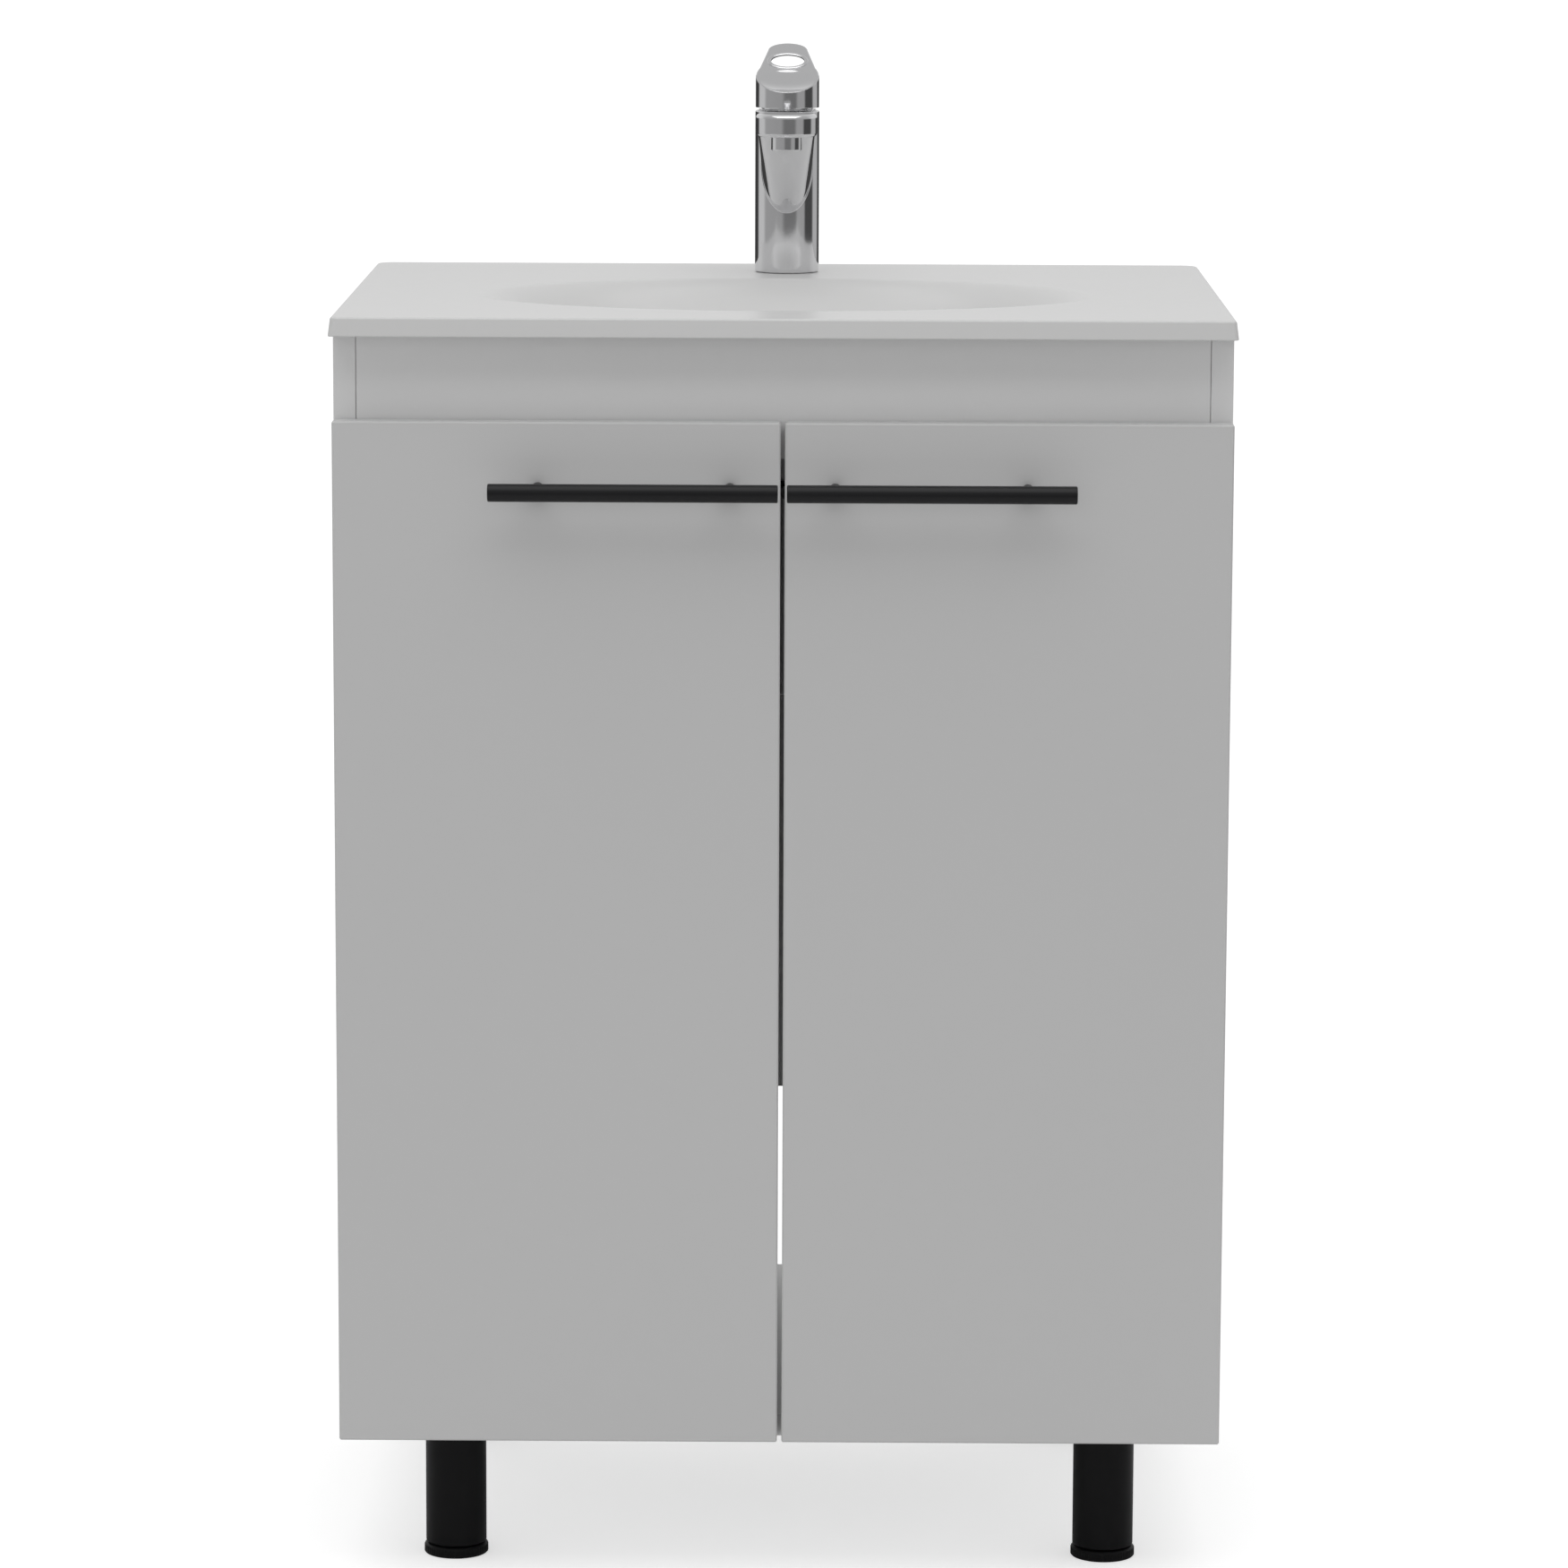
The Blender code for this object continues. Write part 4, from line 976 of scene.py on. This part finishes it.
HOSE_SOCKET_SHARE, HOSE_MOUTH_SHARE, HOSE_NECK_SHARE = 0.6, 0.85, 0.9   # of the outer radius
HOSE_MOUTH_EASING = 0.0008
HOSE_NECK_START, HOSE_NECK_EASING = 0.010, 0.0006
HOSE_SHOULDER = (0.001, 0.0006)


def threaded(radius, low, high):
    """Profile of a threaded rod as a row of ridges."""
    profile = [(0, low), (radius - THREAD_DEPTH, low)]
    ridges = int((high - low) / THREAD_PITCH)
    for i in range(ridges):
        z = low + i * THREAD_PITCH
        profile.append((radius, z + THREAD_PITCH * THREAD_CREST))
        profile.append((radius - THREAD_DEPTH, z + THREAD_PITCH * THREAD_ROOT))
    return [*profile, (radius - THREAD_DEPTH, high), (0, high)]


def node_frame(node):
    """Middle of a node's box, with its lower and upper Z."""
    low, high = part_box(node)
    return (low + high) / 2, low.z, high.z


def chamfered_nut(bm, middle, low, high, corner_radius, bore, sides=6):
    """Hexagon nut: a drilled prism whose corners are eased at both faces."""
    ring = first = None
    for z, shrink in ((low, NUT_EASING), (low + NUT_EASING, 0), (high - NUT_EASING, 0), (high, NUT_EASING)):
        points = ellipse(corner_radius - shrink, corner_radius - shrink, sides)
        points = [(middle.x + y, middle.y + x, z) for x, y in points]
        ring = grow(bm, ring, points) if ring else wire_ring(bm, points)
        first = first or ring
    drilled = [(middle.x + x, middle.y + y) for x, y in ellipse(bore, bore, NUT_BORE_STEPS)]
    inner = wire_ring(bm, [(x, y, low) for x, y in drilled])
    upper = grow(bm, inner, [(x, y, high) for x, y in drilled])
    for outside, inside in ((first, inner), (ring, upper)):
        bmesh.ops.triangle_fill(bm, use_beauty=True, edges=[*ring_edges(bm, outside), *ring_edges(bm, inside)])


def washer_profile(bore, outer, low, high, easing):
    """Flat ring with a small chamfer at its outer corners."""
    return [(bore, low), (outer - easing, low), (outer, low + easing), (outer, high - easing),
            (outer - easing, high), (bore, high), (bore, low)]


def make_faucet_fixings():
    middle, low, high = node_frame("faucet_shank")
    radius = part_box("faucet_shank")[1].x
    bm = bmesh.new()
    spun(bm, threaded(radius, low, high), (middle.x, middle.y, 0), THREAD_STEPS)
    piece(bm, "faucet_thread", "carcass", BRASS, ("faucet_shank",), sharp=50)
    bore = radius + THREAD_PLAY
    washer, low, high = node_frame("faucet_washer")
    bm = bmesh.new()
    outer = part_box("faucet_washer")[1].x
    spun(bm, washer_profile(bore, outer, low, high, SEAL_EASING), (washer.x, washer.y, 0), SEAL_STEPS)
    piece(bm, "faucet_seal", "carcass", RUBBER, ("faucet_washer",))
    nut, low, high = node_frame("faucet_nut")
    bm = bmesh.new()
    chamfered_nut(bm, nut, low, high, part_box("faucet_nut")[1].y - nut.y, bore)
    piece(bm, "faucet_hex_nut", "carcass", BRASS, ("faucet_nut",), sharp=30)
    for label in ("hot", "cold"):
        inlet, low, high = node_frame(f"faucet_inlet_{label}")
        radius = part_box(f"faucet_inlet_{label}")[1].x - inlet.x
        socket, mouth, neck = (radius * share for share in (HOSE_SOCKET_SHARE, HOSE_MOUTH_SHARE, HOSE_NECK_SHARE))
        bm = bmesh.new()
        spun(bm, [(0, low + HOSE_SOCKET_DEPTH), (socket, low + HOSE_SOCKET_DEPTH), (socket, low), (mouth, low),
                  (radius, low + HOSE_MOUTH_EASING), (radius, low + HOSE_NECK_START),
                  (neck, low + HOSE_NECK_START + HOSE_NECK_EASING), (neck, high - HOSE_SHOULDER[0]),
                  (radius, high - HOSE_SHOULDER[1]), (radius, high), (0, high)],
             (inlet.x, inlet.y, 0), HOSE_END_STEPS)
        piece(bm, f"faucet_hose_end_{label}", "carcass", BRASS, (f"faucet_inlet_{label}",))


make_faucet_fixings()

# ---------------------------------------------------------------------------
# Drain: a chrome flange and tube through the bowl's floor, a domed push
# stopper, and below the bowl a rubber gasket, a six-sided plastic nut and the
# chrome tailpiece that a trap would join.
# ---------------------------------------------------------------------------
GREY_PLASTIC = finish("grey_plastic", (0.30, 0.30, 0.31, 1.0), 0.5, bump=0.2, wear=0.5,
                      wear_tone=(0.45, 0.45, 0.46, 1.0), Tone_Spread=0.06, Gloss_Spread=0.1)
DRAIN_SINK = 0.0022
DRAIN_RIM_DROP = 0.0008
DRAIN_TUBE_BORE, DRAIN_TUBE_RADIUS = 0.0175, 0.0205
RIM_EASING = 0.0006
RIM_INNER_RADIUS, RIM_ROLL = 0.0275, 0.0005
THROAT = ((0.0185, -0.0075), (0.0175, -0.0095))
CAP_STEM_RADIUS = 0.004
CAP_UNDER, CAP_CHAMFER, CAP_SIDE, CAP_DOME_START = 0.0003, 0.0005, 0.0008, 0.0016
CAP_DOME_STEPS = 12
DRAIN_NUT_BORE = 0.0208
GASKET_EASING = 0.0008
DRAIN_STEPS = 72
TAIL_WALL, TAIL_EASING = 0.0018, 0.0007


def make_drain():
    floor_z = DECK_Z - BASIN_DEPTH
    at = Vector((0, BASIN_CENTRE_Y, floor_z))
    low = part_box("drain_flange")[0].z - floor_z
    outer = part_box("drain_flange")[1].x
    rim = -DRAIN_RIM_DROP
    bm = bmesh.new()
    spun(bm, [(DRAIN_TUBE_BORE, low), (DRAIN_TUBE_RADIUS, low), (DRAIN_TUBE_RADIUS, -DRAIN_SINK),
              (outer, -DRAIN_SINK), (outer, rim - RIM_EASING),
              *arc(outer - RIM_EASING, rim - RIM_EASING, RIM_EASING, 0, 90, 3), (RIM_INNER_RADIUS, rim),
              *arc(RIM_INNER_RADIUS - RIM_ROLL, rim - RIM_ROLL, RIM_ROLL, 90, 200, 3),
              *THROAT, (DRAIN_TUBE_BORE, low)], at, FINE_STEPS)
    piece(bm, "drain_ring", "carcass", CHROME, ("drain_flange",))
    cap = STOPPER_HIGH.x
    stem_end, crown = STOPPER_LOW.z - floor_z, STOPPER_HIGH.z - floor_z
    angles = [math.pi / 2 * i / CAP_DOME_STEPS for i in range(CAP_DOME_STEPS, 0, -1)]
    dome = [(cap * math.sin(a), CAP_DOME_START + (crown - CAP_DOME_START) * math.cos(a)) for a in angles]
    bm = bmesh.new()
    spun(bm, [(0, stem_end), (CAP_STEM_RADIUS, stem_end), (CAP_STEM_RADIUS, CAP_UNDER),
              (cap - CAP_CHAMFER, CAP_UNDER), (cap, CAP_SIDE), *dome, (0, crown)], at, FINE_STEPS)
    piece(bm, "drain_push_cap", "drain_stopper", CHROME, ("drain_stopper",))
    gasket, low, high = node_frame("drain_gasket")
    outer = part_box("drain_gasket")[1].x
    bm = bmesh.new()
    spun(bm, washer_profile(DRAIN_NUT_BORE, outer, low, high, GASKET_EASING), (gasket.x, gasket.y, 0), DRAIN_STEPS)
    piece(bm, "drain_seal", "carcass", RUBBER, ("drain_gasket",))
    nut, low, high = node_frame("drain_nut")
    bm = bmesh.new()
    chamfered_nut(bm, nut, low, high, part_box("drain_nut")[1].y - nut.y, DRAIN_NUT_BORE)
    piece(bm, "drain_back_nut", "carcass", GREY_PLASTIC, ("drain_nut",), sharp=30)
    tail, low, high = node_frame("drain_tailpiece")
    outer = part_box("drain_tailpiece")[1].x
    bm = bmesh.new()
    spun(bm, [(outer - TAIL_WALL, low), *arc(outer - TAIL_EASING, low + TAIL_EASING, TAIL_EASING, -150, 0, 4),
              (outer, high), (outer - TAIL_WALL, high), (outer - TAIL_WALL, low)], (tail.x, tail.y, 0), DRAIN_STEPS)
    piece(bm, "drain_tail_tube", "carcass", CHROME, ("drain_tailpiece",), sharp=40)


make_drain()

# ---------------------------------------------------------------------------
# Bar handles: a round black rod on two slim posts, satin powder coat. Each
# post is screwed from behind, with a pan head on the door's inner face.
# ---------------------------------------------------------------------------
BLACK_METAL = finish("black_satin_metal", (0.008, 0.008, 0.009, 1.0), 0.36, bump=0.18, wear=0.4, shine=0.28,
                     wear_tone=(0.06, 0.06, 0.06, 1.0), Tone_Spread=0.3, Gloss_Spread=0.1, Grain_Scale=1800.0)
STEEL = finish("zinc_steel", (0.60, 0.60, 0.59, 1.0), 0.32, metallic=1.0, bump=0.05, wear=0.5,
               wear_tone=(0.75, 0.75, 0.74, 1.0), Tone_Spread=0.08, Gloss_Spread=0.10, Patch_Scale=40.0)
DOOR_BACK_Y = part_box("door_left")[1].y
PAN_HEAD = 0.0036
PAN_HEAD_RISE = 0.0019
PAN_PROFILE = ((0, 0.45), (0.24, 0.5), (0.384, 1), (0.62, 0.98), (0.88, 0.72), (1, 0.2), (1, 0))  # of radius, rise
SCREW_STEPS = 24
ROD_EASING = 0.0009
ROD_STEPS = 64
POST_COLLAR = 0.0022
POST_EASING = 0.0004
POST_STEPS = 40
SIDES = {"left": -1, "right": 1}


def pan_screw(bm, at, direction, radius=PAN_HEAD, rise=PAN_HEAD_RISE):
    """Pan-head screw with a dished recess, standing on a face."""
    spun(bm, [(radius * out, rise * up) for out, up in PAN_PROFILE], at, SCREW_STEPS, direction)


def make_handles():
    for side in SIDES:
        low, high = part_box(f"handle_bar_{side}")
        radius = (high.z - low.z) / 2
        half = (high.x - low.x) / 2
        centre_r, centre_end = radius - ROD_EASING, half - ROD_EASING
        bm = bmesh.new()
        spun(bm, [(0, -half), *arc(centre_r, -centre_end, ROD_EASING, -90, 0, 4),
                  *arc(centre_r, centre_end, ROD_EASING, 0, 90, 4), (0, half)], (low + high) / 2, ROD_STEPS, "X")
        piece(bm, f"handle_rod_{side}", f"door_{side}", BLACK_METAL,
              (f"handle_bar_{side}",))
        for end in ("inner", "outer"):
            node = f"handle_post_{side}_{end}"
            low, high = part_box(node)
            middle = (low + high) / 2
            reach = (high.y - low.y) / 2
            radius = (high.x - low.x) / 2
            bm = bmesh.new()
            spun(bm, [(0, -reach), (radius, -reach), (radius, reach - POST_COLLAR), (radius, reach - POST_EASING),
                      (radius - POST_EASING, reach), (0, reach)], middle, POST_STEPS, "Y")
            piece(bm, f"handle_stand_{side}_{end}", f"door_{side}", BLACK_METAL, (node,))
            bm = bmesh.new()
            pan_screw(bm, (middle.x, DOOR_BACK_Y, middle.z), "Y")
            piece(bm, f"handle_screw_{side}_{end}", f"door_{side}", STEEL)


make_handles()

# ---------------------------------------------------------------------------
# Legs: black plastic tubes on round plates screwed to the bottom board, each
# with a ribbed levelling foot on a stud.
# ---------------------------------------------------------------------------
BLACK_PLASTIC = finish("black_leg_plastic", (0.006, 0.006, 0.0065, 1.0), 0.42, bump=0.2, wear=0.5, shine=0.14,
                       wear_tone=(0.04, 0.04, 0.04, 1.0), Tone_Spread=0.25, Gloss_Spread=0.12, Grain_Scale=1500.0)
FOOT_GRIP_RIBS = 60
RIB_STEPS = 4
RIB_DEPTH = 0.0005
RIB_MARGIN = 0.001
RIB_TOLERANCE = 0.0002
FOOT_UNDER_RING = 0.004
FOOT_CHAMFER = (0.0006, 0.0007)
PAD_HEIGHT = 0.0072
PAD_ROUNDING = 0.0026
STUD_RADIUS = 0.004
STUD_START = 0.012
STUD_CORE_START = 0.0115
STUD_GROOVE = 0.0006
STUD_HALF_PITCH = 0.00075
STUD_RIDGES = 32
STUD_STEPS = 24
LEG_STEPS = 72
POST_BORE = 0.0044
POST_BORE_TOP = 0.040
BORE_EASING = 0.0006
LEG_EASING = 0.0008
LEG_GROOVE = ((0.0105, 0.0101), (0.0095, 0.0091))   # below the leg's top
LEG_GROOVE_DEPTH = 0.0004
FLANGE_CHAMFER = 0.0010
LEG_SCREW = 0.0032
LEG_SCREW_RISE = 0.0014


def make_foot(tag):
    node = f"leg_foot_{tag}"
    low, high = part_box(node)
    middle = (low + high) / 2
    outer = high.x - middle.x
    chamfer_in, chamfer_up = FOOT_CHAMFER
    shoulder = PAD_HEIGHT - PAD_ROUNDING
    bm = bmesh.new()
    spun(bm, [(0, 0), (FOOT_UNDER_RING, 0), (outer - FOOT_UNDER_RING, 0), (outer - chamfer_in, 0),
              (outer, chamfer_up), (outer, shoulder), *arc(outer - PAD_ROUNDING, shoulder, PAD_ROUNDING, 15, 90, 5),
              (STUD_RADIUS, PAD_HEIGHT), (STUD_RADIUS, STUD_START)], (middle.x, middle.y, 0),
         FOOT_GRIP_RIBS * RIB_STEPS)
    for vert in bm.verts:
        away = Vector((vert.co.x - middle.x, vert.co.y - middle.y))
        if away.length > outer - RIB_TOLERANCE and RIB_MARGIN < vert.co.z < PAD_HEIGHT - RIB_MARGIN:
            turn = math.atan2(away.y, away.x) * FOOT_GRIP_RIBS
            away *= (outer - RIB_DEPTH * (0.5 - 0.5 * math.cos(turn))) / away.length
            vert.co.x, vert.co.y = middle.x + away.x, middle.y + away.y
    ridges = [(STUD_RADIUS - STUD_GROOVE * (i % 2), STUD_START + i * STUD_HALF_PITCH) for i in range(STUD_RIDGES)]
    spun(bm, [(0, STUD_CORE_START), *ridges, (0, high.z)], (middle.x, middle.y, 0), STUD_STEPS)
    piece(bm, f"leg_pad_{tag}", f"foot_{tag}", BLACK_PLASTIC, (node,))


def make_leg(tag):
    low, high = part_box(f"leg_tube_{tag}")
    middle = (low + high) / 2
    radius = high.x - middle.x
    (foot_outer, foot_inner), (top_inner, top_outer) = LEG_GROOVE
    groove = radius - LEG_GROOVE_DEPTH
    bm = bmesh.new()
    spun(bm, [(0, POST_BORE_TOP), (POST_BORE, POST_BORE_TOP), (POST_BORE, low.z + BORE_EASING),
              (POST_BORE + BORE_EASING, low.z), *arc(radius - LEG_EASING, low.z + LEG_EASING, LEG_EASING, -90, 0, 3),
              (radius, high.z - foot_outer), (groove, high.z - foot_inner), (groove, high.z - top_inner),
              (radius, high.z - top_outer), (radius, high.z), (0, high.z)], (middle.x, middle.y, 0), LEG_STEPS)
    piece(bm, f"leg_post_{tag}", "carcass", BLACK_PLASTIC, (f"leg_tube_{tag}",))
    low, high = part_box(f"leg_plate_{tag}")
    flange = high.x - middle.x
    bm = bmesh.new()
    spun(bm, [(0, low.z), (flange - FLANGE_CHAMFER, low.z), (flange, low.z + FLANGE_CHAMFER), (flange, high.z),
              (0, high.z)], (middle.x, middle.y, 0), LEG_STEPS)
    piece(bm, f"leg_flange_{tag}", "carcass", BLACK_PLASTIC, (f"leg_plate_{tag}",))
    bm = bmesh.new()
    ring = (flange + radius) / 2
    for quarter in range(4):
        angle = math.radians(45 + 90 * quarter)
        at = (middle.x + ring * math.cos(angle), middle.y + ring * math.sin(angle), low.z)
        pan_screw(bm, at, "-Z", LEG_SCREW, LEG_SCREW_RISE)
    piece(bm, f"leg_screws_{tag}", "carcass", STEEL)


for leg in ("front_left", "front_right", "rear_left", "rear_right"):
    make_leg(leg)
    make_foot(leg)

# ---------------------------------------------------------------------------
# Concealed hinges: pressed cups in the doors, goosenecked arms on plates on
# the sides, all nickel-plated steel with softened creases. Screws hold the cup
# wings and the plates, and two more set each arm. Soft dots buffer the doors.
# ---------------------------------------------------------------------------
NICKEL = finish("nickel_plate", (0.62, 0.61, 0.59, 1.0), 0.26, metallic=1.0, bump=0.05, wear=0.5,
                wear_tone=(0.45, 0.44, 0.42, 1.0), Tone_Spread=0.05, Gloss_Spread=0.10, Patch_Scale=24.0)
HINGE_EASED_ANGLE = 40
HINGE_SCREW = 0.0033
HINGE_SCREW_RISE = 0.0013
CUP_SCREW_SINK = 0.0001
CUP_SCREW_REACH = 0.0255
PLATE_SCREW_REACH = 0.0185
ARM_SCREW_STEPS = (0.012, 0.034)      # from the arm's rear end
PLATE_EAR_THICKNESS = 0.0015
PLATE_EAR_FROM_REAR = 0.0265
BUMPER_RADIUS = 0.0042
BUMPER_RISE = 0.0017
BUMPER_PROFILE = ((0, 1), (0.6, 0.9), (0.9, 0.5), (1, 0), (0, 0))   # of radius, rise
BUMPER_PLACES = (-0.030, 0.030)
BUMPER_STEPS = 32
HINGE_PARTS = (("cup", "cup", 0.0003), ("arm", "arm", 0.0004), ("plate", "plate", 0.0004), ("pin", "rivet", 0.0003))


def refined(node, name, material, width):
    """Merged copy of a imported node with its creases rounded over."""
    source = frame["nodes"][node]
    bm = bmesh.new()
    bm.from_mesh(source.data)
    bmesh.ops.remove_doubles(bm, verts=bm.verts, dist=1e-5)
    bmesh.ops.dissolve_limit(bm, angle_limit=math.radians(1), verts=bm.verts, edges=bm.edges)
    obj = piece(bm, name, source.parent.name.split(":")[1], material, (node,), sharp=30, weighted=False)
    round_creases(obj, width, 2, HINGE_EASED_ANGLE)


def make_hinge(side, sign, level):
    tag = f"{side}_{level}"
    for part, shape, width in HINGE_PARTS:
        refined(f"hinge_{part}_{tag}", f"hinge_{shape}_steel_{tag}", NICKEL, width)
    low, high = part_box(f"hinge_cup_{tag}")
    middle = (low + high) / 2
    bm = bmesh.new()
    for way in (-1, 1):
        at = (middle.x, high.y - CUP_SCREW_SINK, middle.z + way * CUP_SCREW_REACH)
        pan_screw(bm, at, "Y", HINGE_SCREW, HINGE_SCREW_RISE)
    piece(bm, f"hinge_cup_screws_{tag}", f"door_{side}", STEEL)
    low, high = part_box(f"hinge_plate_{tag}")
    middle = (low + high) / 2
    face = sign * (max(abs(low.x), abs(high.x)) - PLATE_EAR_THICKNESS)
    inward = "X" if sign < 0 else "-X"
    bm = bmesh.new()
    for way in (-1, 1):
        at = (face, high.y - PLATE_EAR_FROM_REAR, middle.z + way * PLATE_SCREW_REACH)
        pan_screw(bm, at, inward, HINGE_SCREW, HINGE_SCREW_RISE)
    piece(bm, f"hinge_plate_screws_{tag}", "carcass", STEEL)
    low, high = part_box(f"hinge_arm_{tag}")
    arm_face = low.x if sign > 0 else high.x
    bm = bmesh.new()
    for step in ARM_SCREW_STEPS:
        pan_screw(bm, (arm_face, high.y - step, middle.z), inward, HINGE_SCREW, HINGE_SCREW_RISE)
    piece(bm, f"hinge_arm_screws_{tag}", "carcass", STEEL)


def make_bumpers():
    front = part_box("front_rail")[0].y
    rail_z = (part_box("front_rail")[0].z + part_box("door_left")[1].z) / 2
    floor_z = (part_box("bottom_panel")[0].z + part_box("bottom_panel")[1].z) / 2
    profile = [(BUMPER_RADIUS * out, BUMPER_RISE * up) for out, up in BUMPER_PROFILE]
    bm = bmesh.new()
    for x in BUMPER_PLACES:
        for z in (rail_z, floor_z):
            spun(bm, profile, (x, front, z), BUMPER_STEPS, "-Y")
    piece(bm, "door_bumpers", "carcass", GREY_PLASTIC, sharp=40)


for door_side, door_sign in SIDES.items():
    for hinge_level in ("lower", "upper"):
        make_hinge(door_side, door_sign, hinge_level)
make_bumpers()

bpy.context.view_layer.update()
